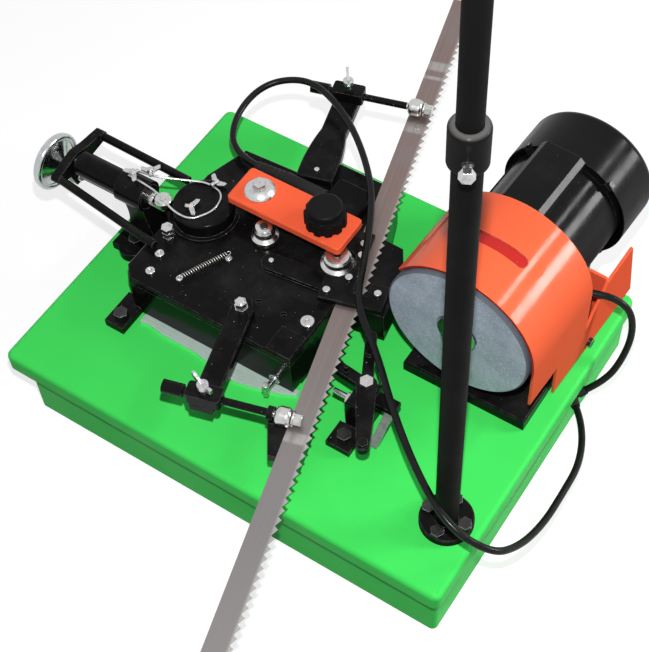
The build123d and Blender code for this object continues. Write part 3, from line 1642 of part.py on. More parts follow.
# A bright flat strip slides on the table under the front wall of the feed base.
bar_back = feed_front + feed_wall / 2
with BuildPart() as pull_bar:
    with BuildSketch(level(0, 0, 0)):
        with BuildLine():
            Polyline(
                (bar_left, bar_back),
                (bar_left, bar_front + 1),
                (bar_left + bar_nose / 3, bar_front + 3),
                (bar_left + bar_nose, bar_front),
                (bar_left + bar_nose + bar_straight, bar_front),
                (bar_left + bar_nose + bar_straight + bar_bulge, bar_belly),
                (bar_right - bar_point, bar_front - 1),
                (bar_right - bar_point / 2, bar_front + 4),
                (bar_right, feed_front),
                (bar_right, bar_back),
                close=True,
            )
        make_face()
    extrude(amount=bar_thickness)
save(pull_bar, "pull_bar")

# A tee-handled screw stands out of the base's front wall above the strip.
tee_seat = Plane(spot(tee_x, feed_front, tee_height), x_dir=(1, 0, 0), z_dir=(0, -1, 0))
with BuildPart() as tee_screw:
    post(tee_seat, tee_radius, tee_length)
    post(tee_seat, tee_radius + tee_collar, tee_collar)
    post(
        Plane(
            spot(tee_x, feed_front - tee_length + tee_bar_radius, tee_height - tee_bar_half),
            z_dir=up,
        ),
        tee_bar_radius,
        2 * tee_bar_half,
    )
save(tee_screw, "tee_screw")

# The feed motor lies behind the clamp arm; a ribbed strain relief holds its cable.
with BuildPart() as feed_motor:
    with BuildSketch(level(0, 0, feed_top)):
        with Locations(
            (
                (feed_motor_left + feed_motor_right) / 2,
                (feed_motor_front + feed_motor_back) / 2,
            )
        ):
            RectangleRounded(
                feed_motor_right - feed_motor_left, feed_motor_back - feed_motor_front, feed_motor_corner
            )
    extrude(amount=feed_motor_height)
    fillet(feed_motor.faces().sort_by(Axis.Z)[-1].edges(), feed_motor_round)
save(feed_motor, "feed_motor")

relief_length = relief_start - relief_end
with BuildPart() as feed_strain_relief:
    with BuildSketch(Plane(spot(relief_start, relief_y, relief_height), x_dir=(-1, 0, 0), z_dir=(0, 1, 0))):
        rib = relief_length / relief_ribs
        edge = [(relief_start - feed_motor_left, 0), (relief_start - feed_motor_left, relief_root)]
        for number in range(relief_ribs):
            size = relief_root - (relief_root - relief_tip) * number / relief_ribs
            groove_at = (number + relief_rib_share) * rib
            edge += [(number * rib, size), (groove_at, size)]
            edge += [(groove_at, size - relief_groove), ((number + 1) * rib, size - relief_groove)]
        edge += [(relief_length, 0)]
        with BuildLine():
            Polyline(*edge, close=True)
        make_face()
    revolve(axis=Axis(spot(0, relief_y, relief_height), (1, 0, 0)))
save(feed_strain_relief, "feed_strain_relief")


def cable(points):
    """A round cable along its route, ending square at both fittings."""
    radii = cable_path(points)
    with BuildLine() as route:
        FilletPolyline(*points, radius=radii)
    with BuildSketch(Plane(points[0], z_dir=points[1] - points[0])) as section:
        Circle(cable_radius)
    sweep(section.sketch, path=route.wire())
    return radii, route.wire().length


table_edge = table_length / 2
feed_cable_points = [
    spot(relief_end, relief_y, relief_height),
    spot(relief_end - 33, relief_y + 2, relief_height),
    spot(-194, 138, 71),
    spot(-188, 185, 80),
    spot(-150, 209, 86),
    spot(-108, 198, 86),
    spot(-64, 171, 84),
    spot(-20, 129, 81),
    spot(4, 91, 80),
    spot(25, 46, 79),
    spot(46, -4, 77),
    spot(92, -40, 75),
    spot(139, -87, 73),
    spot(188, -127, 70),
    spot(235, -154, 62),
    spot(table_edge + 26, -148, 44),
    spot(table_edge + 38, -118, 20),
    spot(table_edge + 42, -78, 1),
    spot(table_edge + 40, -36, -11),
    spot(table_edge + 37, 8, -21),
    boot_a_end + boot_a_way * 25,
    boot_a_end,
]
motor_cable_points = [
    gland_end,
    gland_end + gland_way * 17,
    spot(table_edge + 6, 130, 72),
    spot(table_edge + 18, 133, 57),
    spot(table_edge + 24, 128.5, 31),
    spot(table_edge + 22.5, 116, 3),
    boot_b_end + boot_b_way * 22,
    boot_b_end,
]
with BuildPart() as feed_cable:
    feed_radii, feed_length = cable(feed_cable_points)
save(feed_cable, "feed_cable")
with BuildPart() as motor_cable:
    motor_radii, motor_length = cable(motor_cable_points)
save(motor_cable, "motor_cable")
for name, radii, length, solid in (
    ("feed_cable", feed_radii, feed_length, feed_cable),
    ("motor_cable", motor_radii, motor_length, motor_cable),
):
    expected = pi * cable_radius**2 * length
    print(name, "length", round(length, 1), "radii", [round(radius, 1) for radius in radii])
    print(name, "volume", round(solid.part.volume), "section x length", round(expected))

# The return spring lies on the plate between a screw and a pin.
spring_low = spot(spring_low_x, spring_low_y, spring_height)
spring_high = spot(spring_high_x, spring_high_y, spring_height)
spring_way = (spring_high - spring_low).normalized()
spring_across = up.cross(spring_way)
coil_length = spring_turns * spring_pitch
coil_start = spring_low + spring_way * ((spring_high - spring_low).length - coil_length) * 0.5


def coil_point(turn):
    """A place on the coil's middle line after so many turns."""
    swing = 2 * pi * turn
    out = spring_across * cos(swing) + up * sin(swing)
    return coil_start + spring_way * (spring_pitch * turn) + out * spring_radius


def coil_way(turn):
    """The direction of the coil there."""
    swing = 2 * pi * turn
    round_way = up * cos(swing) - spring_across * sin(swing)
    return (round_way * (2 * pi * spring_radius) + spring_way * spring_pitch).normalized()


def tangent_pair(start, start_way, end, end_way):
    """Two arcs that leave one place and reach another in the given directions."""
    chord = end - start
    both = start_way + end_way
    spread = 2 * (1 - start_way.dot(end_way))
    reach = (sqrt(chord.dot(both) ** 2 + spread * chord.dot(chord)) - chord.dot(both)) / spread
    first = start + start_way * reach
    last = end - end_way * reach
    middle = (first + last) * 0.5
    TangentArc(start, middle, tangent=start_way)
    TangentArc(middle, end, tangent=middle - first)


spring_start = coil_point(0) - coil_way(0) * 2 * spring_wire
spring_finish = coil_point(spring_turns) + coil_way(spring_turns) * 2 * spring_wire
with BuildPart() as return_spring:
    with BuildLine() as coil:
        Line(spring_start, coil_point(0))
        for half_turn in range(round(2 * spring_turns)):
            here = half_turn / 2
            there = here + 1 / 2
            tangent_pair(coil_point(here), coil_way(here), coil_point(there), coil_way(there))
        Line(coil_point(spring_turns), spring_finish)
    with BuildSketch(Plane(spring_start, z_dir=coil_way(0))) as wire_end:
        Circle(spring_wire)
    sweep(wire_end.sketch, path=coil.wire())
save(return_spring, "return_spring")
coil_places = [coil_point(step / 24) for step in range(round(24 * spring_turns) + 1)]
coil_gap = min(
    (here - there).length - 2 * spring_wire
    for index, here in enumerate(coil_places)
    for there in coil_places[index + 12 :]
)
print("return_spring least gap to itself", round(coil_gap, 2))



def wire_route(points):
    """A stiff wire bent along its route."""
    with BuildLine() as route:
        FilletPolyline(*points, radius=cable_path(points))
    with BuildSketch(Plane(points[0], z_dir=points[1] - points[0])) as section:
        Circle(wire_radius)
    sweep(section.sketch, path=route.wire())


# A loose wire ring lies on the drum and the plunger's boss with four spare wing screws.
on_drum = drum_top + drum_rest_gap + wire_radius
on_boss = plunger_height + pedestal_boss_radius + drum_rest_gap + wire_radius
with BuildPart() as wire_ring:
    wire_route(
        [
            spot(-231, 13, on_boss),
            spot(-205, 17, on_boss),
            spot(-181, 33, on_drum + 2),
            spot(-160, 44, on_drum),
            spot(-138, 40, on_drum),
            spot(-133, 18, on_drum),
            spot(-147, -4, on_drum),
            spot(-167, -5, on_drum + 1),
            spot(-188, 1, on_boss),
            spot(-209, 4, on_boss),
            spot(-229, 5, on_boss),
        ]
    )
    spare_hub = wing_hub * spare_size
    for x, y, low, turn in (
        (-153, 40, drum_top, 76),
        (-160, 6, drum_top, 20),
        (-221, 12, on_boss + wire_radius / 2, -110),
        (-206, 12.6, on_boss + wire_radius / 2, 128),
    ):
        lying = Plane(
            spot(x, y, low + drum_rest_gap + wire_radius / 2 + spare_hub),
            x_dir=(-sin(radians(turn)), cos(radians(turn)), 0),
            z_dir=(cos(radians(turn)), sin(radians(turn)), 0),
        )
        wing_screw(lying, 0, spare_size)
save(wire_ring, "wire_ring")

# Fasteners that hold the pieces on the table.
with BuildPart() as table_bolts:
    for x, y in post_bolts_at:
        hexagon(level(x, y, post_flange_thickness), post_bolt_head_radius, post_bolt_head_height)
        post(level(x, y, post_flange_thickness), post_bolt_shank, -post_bolt_length)
    for s, t in head_bolts_at:
        seat = head_level(s, t, head_floor + base_plate_thickness)
        hexagon(seat, base_bolt_head_radius, base_bolt_head_height)
        post(seat, base_bolt_shank, -base_plate_thickness - rim_thickness / 2)
    for x, y in foot_bolts_at:
        seat = level(x, y, foot_tab_thickness)
        hexagon(seat, foot_bolt_head_radius, foot_bolt_head_height)
        post(seat, foot_bolt_shank, -foot_tab_thickness - rim_thickness / 2)
    seat = level(pawl_foot_x, pawl_foot_y, pawl_foot_thickness)
    hexagon(seat, foot_bolt_head_radius, foot_bolt_head_height)
    post(seat, foot_bolt_shank, -pawl_foot_thickness - rim_thickness / 2)
save(table_bolts, "table_bolts")

# Screws of the grinding head: four in the guard's web, four in the fan cover, one in the bracket.
with BuildPart() as head_screws:
    for turn in (20, 75, 125, 200):
        with BuildSketch(head_section(guard_back - guard_web)) as pan:
            with PolarLocations(guard_screw_circle, 1, start_angle=turn):
                Circle(guard_screw_radius)
        extrude(pan.sketch, amount=guard_screw_height)
    fronts = head_screws.faces().filter_by(lambda face: face.normal_at().dot(back_way) < -0.9)
    fillet(fronts.edges(), 1)
    for side in (1, -1):
        for tilt in (cover_lug_angle, 180 - cover_lug_angle):
            turn = radians(side * tilt)
            way = right_way * cos(turn) + up * sin(turn)
            on_cover = head_spot(0, motor_back + bell_width / 2, 0) + way * fan_cover_radius
            post(Plane(on_cover, z_dir=way), cover_screw_radius, cover_screw_height)
    bolt_seat = head_spot(guard_radius, guard_back + bracket_bolt_back, wall_foot + bracket_bolt_rise)
    hexagon(Plane(bolt_seat, z_dir=right_way), bracket_bolt_radius, bracket_bolt_height)
save(head_screws, "head_screws")

# Screws, nuts and pins that stand on the feed unit's plate.
socket_screws_at = (
    (top_screw_a_x, top_screw_a_y, top_screw_radius),
    (top_screw_b_x, top_screw_b_y, top_screw_radius),
    (disc_x, disc_y, disc_radius),
)
with BuildPart() as feed_screws:
    for x, y, size in socket_screws_at:
        post(level(x, y, feed_top), size, top_screw_height)
    fillet(feed_screws.faces().group_by(Axis.Z)[-1].edges(), 1)
    for x, y, size in socket_screws_at:
        with BuildSketch(level(x, y, feed_top + top_screw_height)) as socket:
            RegularPolygon(top_screw_socket, 6)
        extrude(socket.sketch, amount=-top_screw_depth, mode=Mode.SUBTRACT)
    post(level(slide_x, slide_y, feed_top + slide_thickness), rear_screw_radius, rear_screw_radius)
    adjuster = level(adjuster_x, adjuster_y, feed_top)
    post(adjuster, adjuster_radius, adjuster_height)
    for rise in (0, adjuster_nut + 2, adjuster_height):
        hexagon(shifted(adjuster, rise), adjuster_nut_radius, adjuster_nut)
    stud = blade_level(front_arm_u, arm_stud_v, arm_high)
    post(stud, arm_stud_radius, arm_stud_length)
    hexagon(stud, arm_nut_radius, arm_nut_height)
    hexagon(shifted(stud, arm_nut_height + 1), arm_nut_radius - 1, arm_nut_height)
    rear_seat = blade_level(rear_arm_u, rear_arm_root + rear_screw_inset, arm_high)
    post(rear_seat, rear_screw_radius, rear_screw_radius)
    for u, v in ((-5.7, 69), (-3.8, 55), (-7.7, 26), (-24, 78), (-24, 6), (24.5, 15)):
        seat = blade_level(u, v, clamp_low + clamp_plate_thickness)
        post(seat, clamp_screw_radius, clamp_screw_height)
    for end, way in ((spring_start, coil_way(0) * -1), (spring_finish, coil_way(spring_turns))):
        drop = (end.Z - table_height - feed_top) / -way.Z
        post(Plane(end, z_dir=way), spring_pin, drop - spring_pin_foot_height / 2)
        post(Plane(end + way * drop, z_dir=up), spring_pin_foot, spring_pin_foot_height)
    pivot_top = pawl_bottom + pawl_thickness + roller_gap
    post(level(pawl_x, pawl_y, pawl_arm_bottom), pawl_bolt_radius, pivot_top - pawl_arm_bottom)
    hexagon(level(pawl_x, pawl_y, pivot_top), pawl_bolt_head, pawl_bolt_head_height)
    post(stop, stop_screw_radius, pawl_x - stop_screw_tip)
    hexagon(shifted(stop, bracket_post_width / 2), 2 * stop_screw_radius, stop_nut)
save(feed_screws, "feed_screws")
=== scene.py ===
from math import cos, pi, radians, sin

import bpy
from mathutils import Matrix, Vector


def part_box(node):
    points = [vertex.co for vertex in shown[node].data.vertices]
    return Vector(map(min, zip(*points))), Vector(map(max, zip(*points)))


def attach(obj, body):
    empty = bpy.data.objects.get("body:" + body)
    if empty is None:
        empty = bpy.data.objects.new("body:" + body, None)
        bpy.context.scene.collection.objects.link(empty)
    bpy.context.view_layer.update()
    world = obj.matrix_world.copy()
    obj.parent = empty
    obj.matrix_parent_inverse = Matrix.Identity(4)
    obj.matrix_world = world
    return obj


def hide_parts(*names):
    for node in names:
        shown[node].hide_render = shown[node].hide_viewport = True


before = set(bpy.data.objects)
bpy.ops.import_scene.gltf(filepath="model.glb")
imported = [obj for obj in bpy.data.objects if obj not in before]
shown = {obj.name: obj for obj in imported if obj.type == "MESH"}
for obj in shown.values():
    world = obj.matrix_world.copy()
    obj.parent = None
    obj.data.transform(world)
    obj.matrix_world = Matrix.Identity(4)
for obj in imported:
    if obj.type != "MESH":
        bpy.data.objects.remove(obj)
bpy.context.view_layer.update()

# The machine is pictured from above its front right corner, on a pale floor without a horizon.
# A small lamp stands beside the camera, and two light boxes stand to the right behind the
# machine: they draw the two long streaks on the hood's and the motor's gloss paint.
scene = bpy.context.scene
scene.view_settings.view_transform = "Standard"
picture_width = 649
focal_length_in_pixels = 1467.7
film_width = 36
eye = Vector((0.4898, -0.6713, 1.2752))
eye_right = Vector((0.8368, 0.5461, -0.0405)).normalized()
eye_up = Vector((-0.4292, 0.7000, 0.5708))
eye_up = (eye_up - eye_up.dot(eye_right) * eye_right).normalized()
eye_turn = Matrix((eye_right, eye_up, eye_right.cross(eye_up))).transposed().to_4x4()
lens = bpy.data.cameras.new("camera")
lens.sensor_fit = "HORIZONTAL"
lens.sensor_width = film_width
lens.lens = focal_length_in_pixels / picture_width * film_width
camera = bpy.data.objects.new("camera", lens)
camera.matrix_world = Matrix.Translation(eye) @ eye_turn
scene.collection.objects.link(camera)
scene.camera = camera


def fill(tree, socket, value):
    """Gives an input its value, or links it where the value is another node's socket."""
    if isinstance(value, bpy.types.NodeSocket):
        tree.links.new(value, socket)
    else:
        socket.default_value = value


def add_node(tree, kind, settings=None, **inputs):
    """A shader node with its settings and its inputs."""
    made = tree.nodes.new("ShaderNode" + kind)
    for key, value in (settings or {}).items():
        setattr(made, key, value)
    for key, value in inputs.items():
        fill(tree, made.inputs[key.replace("_", " ")], value)
    return made


def calculate(tree, operation, first, second=0.0, third=0.0):
    made = add_node(tree, "Math", {"operation": operation})
    for socket, value in zip(made.inputs, (first, second, third)):
        fill(tree, socket, value)
    return made.outputs["Value"]


def vector_step(tree, operation, first, second=(0, 0, 0)):
    made = add_node(tree, "VectorMath", {"operation": operation})
    fill(tree, made.inputs[0], first)
    fill(tree, made.inputs[1], second)
    return made.outputs


def span(tree, value, low, high, to_low=0.0, to_high=1.0):
    """A value between low and high, moved to the same place between two other numbers."""
    ends = {"From_Min": low, "From_Max": high, "To_Min": to_low, "To_Max": to_high}
    return add_node(tree, "MapRange", Value=value, **ends).outputs["Result"]


def seen_or_lighting(tree, lighting, seen):
    """One shader for the light that falls on a surface, and another for what the camera, a mirror
    or clear glass sees."""
    ray = add_node(tree, "LightPath").outputs
    mirrored = calculate(tree, "MAXIMUM", ray["Is Glossy Ray"], ray["Is Transmission Ray"])
    looked_at = calculate(tree, "MAXIMUM", ray["Is Camera Ray"], mirrored)
    both = add_node(tree, "MixShader", Fac=looked_at)
    tree.links.new(lighting.outputs[0], both.inputs[1])
    tree.links.new(seen.outputs[0], both.inputs[2])
    return both.outputs[0]


white = (1, 1, 1, 1)
room_light = 0.15
room = bpy.data.worlds.new("studio")
room.use_nodes = True
scene.world = room
walls = room.node_tree
walls.nodes.clear()
dim_walls = add_node(walls, "Background", Color=white, Strength=room_light)
white_walls = add_node(walls, "Background", Color=white, Strength=1)
add_node(walls, "OutputWorld", Surface=seen_or_lighting(walls, dim_walls, white_walls))

floor_half = 9
floor_corners = ((-1, -1), (1, -1), (1, 1), (-1, 1))
floor_grey = (0.1, 0.1, 0.1, 1)
shadow_grey = (0.34, 0.34, 0.34, 1)
glow_near, glow_far = 0.7, 3.0
glow_beside_machine, glow_far_away = 0.76, 1.0
floor_mesh = bpy.data.meshes.new("floor")
floor_points = [(x * floor_half, y * floor_half, 0) for x, y in floor_corners]
floor_mesh.from_pydata(floor_points, [], [(0, 1, 2, 3)])
floor = bpy.data.objects.new("floor", floor_mesh)
scene.collection.objects.link(floor)
pale_floor = bpy.data.materials.new("pale_floor")
pale_floor.use_nodes = True
ground = pale_floor.node_tree
ground.nodes.clear()
lit_floor = add_node(ground, "BsdfDiffuse", Color=floor_grey)
shadowed_floor = add_node(ground, "BsdfDiffuse", Color=shadow_grey)
ground_at = add_node(ground, "NewGeometry").outputs["Position"]
from_machine = vector_step(ground, "LENGTH", ground_at)["Value"]
glow = span(ground, from_machine, glow_near, glow_far, glow_beside_machine, glow_far_away)
glowing_floor = add_node(ground, "Emission", Color=white, Strength=glow)
white_floor = add_node(ground, "AddShader")
ground.links.new(shadowed_floor.outputs[0], white_floor.inputs[0])
ground.links.new(glowing_floor.outputs[0], white_floor.inputs[1])
add_node(ground, "OutputMaterial", Surface=seen_or_lighting(ground, lit_floor, white_floor))
floor_mesh.materials.append(pale_floor)

lamp_aim = Vector((0.12, 0.04, 0.16))


def lamp(name, place, energy, **settings):
    """A lamp that faces the machine from its place, with its long side from front to back."""
    light = bpy.data.lights.new(name, "AREA")
    light.energy = energy
    for key, value in settings.items():
        setattr(light, key, value)
    away = (Vector(place) - lamp_aim).normalized()
    long_way = (Vector((0, 1, 0)) - away * away.y).normalized()
    turned = Matrix((long_way.cross(away), long_way, away)).transposed().to_4x4()
    stand = bpy.data.objects.new(name, light)
    stand.matrix_world = Matrix.Translation(place) @ turned
    scene.collection.objects.link(stand)


lamp("camera_lamp", (0.434, -0.565, 1.362), 17, shape="DISK", size=0.03)
lamp("narrow_box", (1.432, 1.395, 1.716), 10, shape="RECTANGLE", size=0.2, size_y=0.7)
lamp("broad_box", (1.989, 1.384, 0.970), 25, shape="RECTANGLE", size=0.5, size_y=0.6)

# The table is a folded sheet steel tray on a welded skirt. Both are sprayed in one bright green
# gloss enamel, which holds a little workshop dust. Its bent edges are paler, partly where the coat
# lies thin and partly as a painted highlight.
green = (0.064, 0.78, 0.125)
green_shade = (0.056, 0.72, 0.11)
# Worn edges and painted edge highlight in one paler green.
green_edge_and_highlight = (0.17, 0.86, 0.24)
green_dust = (0.3, 0.8, 0.34)


def finish_tree(name):
    """A new finish with its node tree, its shader and the place on the piece that it is read at."""
    finish = bpy.data.materials.new(name)
    finish.use_nodes = True
    tree = finish.node_tree
    at = add_node(tree, "TexCoord").outputs["Object"]
    return finish, tree, tree.nodes["Principled BSDF"], at


def noise(tree, at, a_metre, detail=2.0, rough=0.5):
    made = add_node(tree, "TexNoise", Vector=at, Scale=a_metre, Detail=detail, Roughness=rough)
    return made.outputs["Fac"]


def patches(tree, at, a_metre, cut, share=(0.0, 1.0), detail=2.0, rough=0.5):
    """Cloudy patches, so many a metre: their share changes as the noise goes through the cut."""
    return span(tree, noise(tree, at, a_metre, detail, rough), *cut, *share)


def mixed(tree, share, first, second):
    """The first colour turning into the second as the share goes from 0 to 1."""
    made = add_node(tree, "Mix", {"data_type": "RGBA"})
    fill(tree, made.inputs["Factor"], share)
    for socket, colour in ((made.inputs[6], first), (made.inputs[7], second)):
        fill(tree, socket, (*colour, 1) if isinstance(colour, tuple) else colour)
    return made.outputs[2]


def rounded_edges(tree, radius, samples=4):
    return add_node(tree, "Bevel", {"samples": samples}, Radius=radius).outputs["Normal"]


def edge_share(tree, rounded):
    """How near a point is to an edge, from 0 on a flat face to 1 on the edge itself."""
    on_flat, on_edge = 0.995, 0.86
    flat = add_node(tree, "NewGeometry").outputs["Normal"]
    agreement = vector_step(tree, "DOT_PRODUCT", rounded, flat)["Value"]
    return span(tree, agreement, on_flat, on_edge)


def slope(tree):
    """The height of the surface's normal: 1 on a face that lies flat, and 0 on an upright one."""
    normal = add_node(tree, "NewGeometry").outputs["Normal"]
    return add_node(tree, "SeparateXYZ", Vector=normal).outputs["Z"]


def facing_up(tree):
    return span(tree, slope(tree), 0.5, 0.98)


def upright_share(tree):
    """1 on a face that stands upright, and 0 on one that faces well up or down."""
    return span(tree, calculate(tree, "ABSOLUTE", slope(tree)), 0.7, 0.3)


def crumbs(tree, at, spacing, size, share):
    """Single grains about a spacing apart and a size across; a share of the places has one."""
    cells = add_node(tree, "TexVoronoi", Vector=at, Scale=1 / spacing)
    near = span(tree, cells.outputs["Distance"], size / spacing / 2, size / spacing / 3)
    lot = add_node(tree, "SeparateColor", Color=cells.outputs["Color"]).outputs["Red"]
    return calculate(tree, "MULTIPLY", near, span(tree, lot, 1 - share, 1.02 - share))


def dress(tree, shader, colour, dullness, relief, depth, strength, rounded=None):
    """Gives a shader its colour, its roughness and its relief, which is a depth in metres high."""
    fill(tree, shader.inputs["Base Color"], colour)
    fill(tree, shader.inputs["Roughness"], dullness)
    bump = add_node(tree, "Bump", Strength=strength, Distance=depth, Height=relief)
    if rounded is not None:
        fill(tree, bump.inputs["Normal"], rounded)
    fill(tree, shader.inputs["Normal"], bump.outputs["Normal"])


def enamel(
    name, colours, gloss, peel, edge_radius, edge_wear_and_highlight, dust_share, level, overspray=0.0,
    accent=None,
):
    """Sprayed gloss enamel: clouds in the coat, orange peel, edges paler from wear and from a
    painted highlight, dust on what faces up and a dull overspray on upright sides. Its colours are
    coat, shade, worn and highlighted edge, and dust."""
    colour, shade, edge, dust = colours
    finish, tree, shader, at = finish_tree(name)
    rounded = rounded_edges(tree, edge_radius, samples=6)
    clouds = patches(tree, at, a_metre=7, cut=(0.35, 0.7), detail=4)
    coat = mixed(tree, clouds, colour, shade)
    if accent:
        coat = accent(tree, at, coat)
    chips = patches(tree, at, a_metre=130, cut=(0.38, 0.62), detail=5, rough=0.65)
    # The edge colour marks worn edges and is also a painted highlight along the rounded edges.
    worn = calculate(tree, "MULTIPLY", edge_share(tree, rounded), chips)
    coat = mixed(tree, calculate(tree, "MULTIPLY", worn, edge_wear_and_highlight), coat, edge)
    filings = crumbs(tree, at, spacing=0.009, size=0.0013, share=0.35)
    grit = crumbs(tree, at, spacing=0.004, size=0.0006, share=0.25)
    film = patches(tree, at, a_metre=22, cut=(0.45, 0.8), share=(0.0, 0.06), detail=6, rough=0.7)
    settled = calculate(tree, "MAXIMUM", calculate(tree, "MAXIMUM", filings, grit), film)
    settled = calculate(tree, "MULTIPLY", settled, facing_up(tree))
    settled = calculate(tree, "MULTIPLY", settled, dust_share)
    coat = mixed(tree, settled, coat, dust)
    gloss_range = (gloss, gloss + 0.16)
    smear = patches(tree, at, a_metre=16, cut=(0.35, 0.75), share=gloss_range, detail=6, rough=0.7)
    dust_dullness = 0.4
    dull = calculate(tree, "MULTIPLY_ADD", settled, dust_dullness, smear)
    if overspray:
        dull = calculate(tree, "MULTIPLY_ADD", upright_share(tree), overspray, dull)
    waves, fine_peel = noise(tree, at, a_metre=60), noise(tree, at, a_metre=420)
    ripple = calculate(tree, "MULTIPLY_ADD", waves, 2.0, fine_peel)
    dress(tree, shader, coat, dull, ripple, peel, strength=1.0, rounded=rounded)
    shader.inputs["Specular IOR Level"].default_value = level
    return finish


def paint(finish, *nodes):
    for name in nodes:
        shown[name].data.materials.clear()
        shown[name].data.materials.append(finish)


green_enamel = enamel(
    "green_enamel", (green, green_shade, green_edge_and_highlight, green_dust), gloss=0.2, peel=0.00003,
    edge_radius=0.0025, edge_wear_and_highlight=0.6, dust_share=0.2, level=0.05, overspray=0.22,
)
paint(green_enamel, "table_top", "base_frame")

# The post is two lengths of steel pipe, one sliding in the other, with a collar and a round
# flange welded on. All of it is black gloss enamel. The collar's upward faces carry a painted
# highlight in pale grey, and its edges are that grey too.
black = (0.0042, 0.0038, 0.0039)
black_shade = (0.0062, 0.0058, 0.0058)
black_edge = (0.1, 0.098, 0.095)
grey_dust = (0.3, 0.295, 0.285)
# Pale grey for the collar's worn edges and for the painted highlight on its upward faces.
rim_steel_and_highlight = (0.17, 0.165, 0.16)
rim_highlight_share = 0.45
post_enamel = enamel(
    "black_post_enamel", (black, black_shade, black_edge, grey_dust), gloss=0.2, peel=0.00003,
    edge_radius=0.0016, edge_wear_and_highlight=1.0, dust_share=0.4, level=0.05, overspray=0.4,
)
paint(post_enamel, "post_tube", "post_slider")


def painted_rim_highlight(tree, at, coat):
    """A painted highlight: wherever the collar faces up, its coat is mixed nearly half way to the
    pale rim grey.
    """
    return mixed(tree, calculate(tree, "MULTIPLY", facing_up(tree), rim_highlight_share), coat, rim_steel_and_highlight)


collar_enamel = enamel(
    "black_collar_enamel", (black, black_shade, rim_steel_and_highlight, grey_dust), gloss=0.2, peel=0.00003,
    edge_radius=0.0022, edge_wear_and_highlight=1.0, dust_share=0.4, level=0.06, overspray=0.3, accent=painted_rim_highlight,
)
paint(collar_enamel, "post_collar")

# Bolts, nuts and plain washers are zinc plated: bright, a little milky, with the blue and straw
# tints of the plating, and rubbed brighter on the edges where a spanner bears. Those that hold the
# machine's heavy pieces on the table are blackened instead.
zinc = (0.54, 0.555, 0.575)
zinc_straw = (0.57, 0.555, 0.525)
zinc_dirt = (0.16, 0.155, 0.15)
zinc_rubbed = (0.74, 0.745, 0.75)
oxide = (0.045, 0.044, 0.044)
oxide_worn = (0.075, 0.073, 0.071)
oxide_dirt = (0.02, 0.02, 0.02)
oxide_rubbed = (0.5, 0.5, 0.49)


def plated_steel(name, colours, gloss, dirt_share=0.6, edge_radius=0.0007):
    """Plated steel, clouded and a little soiled, with its edges rubbed bright. Its colours are
    plating, tint, dirt and rubbed edge."""
    colour, tint, dirt, lighter = colours
    finish, tree, shader, at = finish_tree(name)
    rounded = rounded_edges(tree, edge_radius)
    bloom = patches(tree, at, a_metre=90, cut=(0.35, 0.7), detail=4)
    skin = mixed(tree, bloom, colour, tint)
    dirtiness = (0.0, dirt_share)
    soil = patches(tree, at, a_metre=240, cut=(0.5, 0.72), share=dirtiness, detail=6, rough=0.7)
    skin = mixed(tree, soil, skin, dirt)
    scrapes = patches(tree, at, a_metre=400, cut=(0.35, 0.6), detail=3)
    bare = calculate(tree, "MULTIPLY", edge_share(tree, rounded), scrapes)
    skin = mixed(tree, bare, skin, lighter)
    gloss_range = (gloss, gloss + 0.22)
    dull = patches(tree, at, a_metre=320, cut=(0.3, 0.7), share=gloss_range, detail=5, rough=0.65)
    pits = noise(tree, at, a_metre=1400, detail=3)
    dress(tree, shader, skin, dull, pits, depth=0.00006, strength=0.6, rounded=rounded)
    shader.inputs["Metallic"].default_value = 1.0
    return finish


zinc_plate = plated_steel("zinc_plate", (zinc, zinc_straw, zinc_dirt, zinc_rubbed), gloss=0.16)
black_oxide = plated_steel(
    "black_oxide", (oxide, oxide_worn, oxide_dirt, oxide_rubbed), gloss=0.3, dirt_share=0.5
)
paint(zinc_plate, "post_clamp_bolt", "feed_screws", "pivot_bolt")
paint(black_oxide, "table_bolts", "head_screws", "plate_pillars")

# The motor of the grinding head: a ribbed cast body with end bells, a terminal box and a fan
# cover over the back. Body and box are black enamel, the fan cover is pressed black plastic.
cover_black = (0.004, 0.0037, 0.0038)
cover_pale = (0.0075, 0.007, 0.0071)
scuff_grey = (0.09, 0.09, 0.092)
motor_enamel = enamel(
    "black_motor_enamel", (black, black_shade, black_edge, grey_dust), gloss=0.1, peel=0.00004,
    edge_radius=0.001, edge_wear_and_highlight=0.7, dust_share=0.3, level=0.1, overspray=0.4,
)
paint(motor_enamel, "motor_body", "motor_end_bells", "terminal_box")


def moulded_plastic(name, colour, pale, gloss, grain, level):
    """Moulded plastic or rubber with a fine leather grain, greyed by handling and scuffed on its
    edges, and duller on upright sides."""
    scuff_share = 0.6
    side_dullness = 0.3
    finish, tree, shader, at = finish_tree(name)
    rounded = rounded_edges(tree, 0.0008)
    tone = patches(tree, at, a_metre=14, cut=(0.4, 0.75), detail=5)
    skin = mixed(tree, tone, colour, pale)
    scrapes = patches(tree, at, a_metre=210, cut=(0.42, 0.7), detail=5, rough=0.7)
    scuffs = calculate(tree, "MULTIPLY", edge_share(tree, rounded), scrapes)
    skin = mixed(tree, calculate(tree, "MULTIPLY", scuffs, scuff_share), skin, scuff_grey)
    gloss_range = (gloss, gloss + 0.16)
    dull = patches(tree, at, a_metre=45, cut=(0.35, 0.75), share=gloss_range, detail=6, rough=0.7)
    dull = calculate(tree, "MULTIPLY_ADD", upright_share(tree), side_dullness, dull)
    leather = add_node(tree, "TexVoronoi", Vector=at, Scale=1500.0).outputs["Distance"]
    dress(tree, shader, skin, dull, leather, grain, strength=0.5, rounded=rounded)
    shader.inputs["Specular IOR Level"].default_value = level
    return finish


fan_cover_plastic = moulded_plastic(
    "fan_cover_plastic", cover_black, cover_pale, gloss=0.15, grain=0.00002, level=0.1
)
paint(fan_cover_plastic, "motor_fan_cover", "cooling_fan")

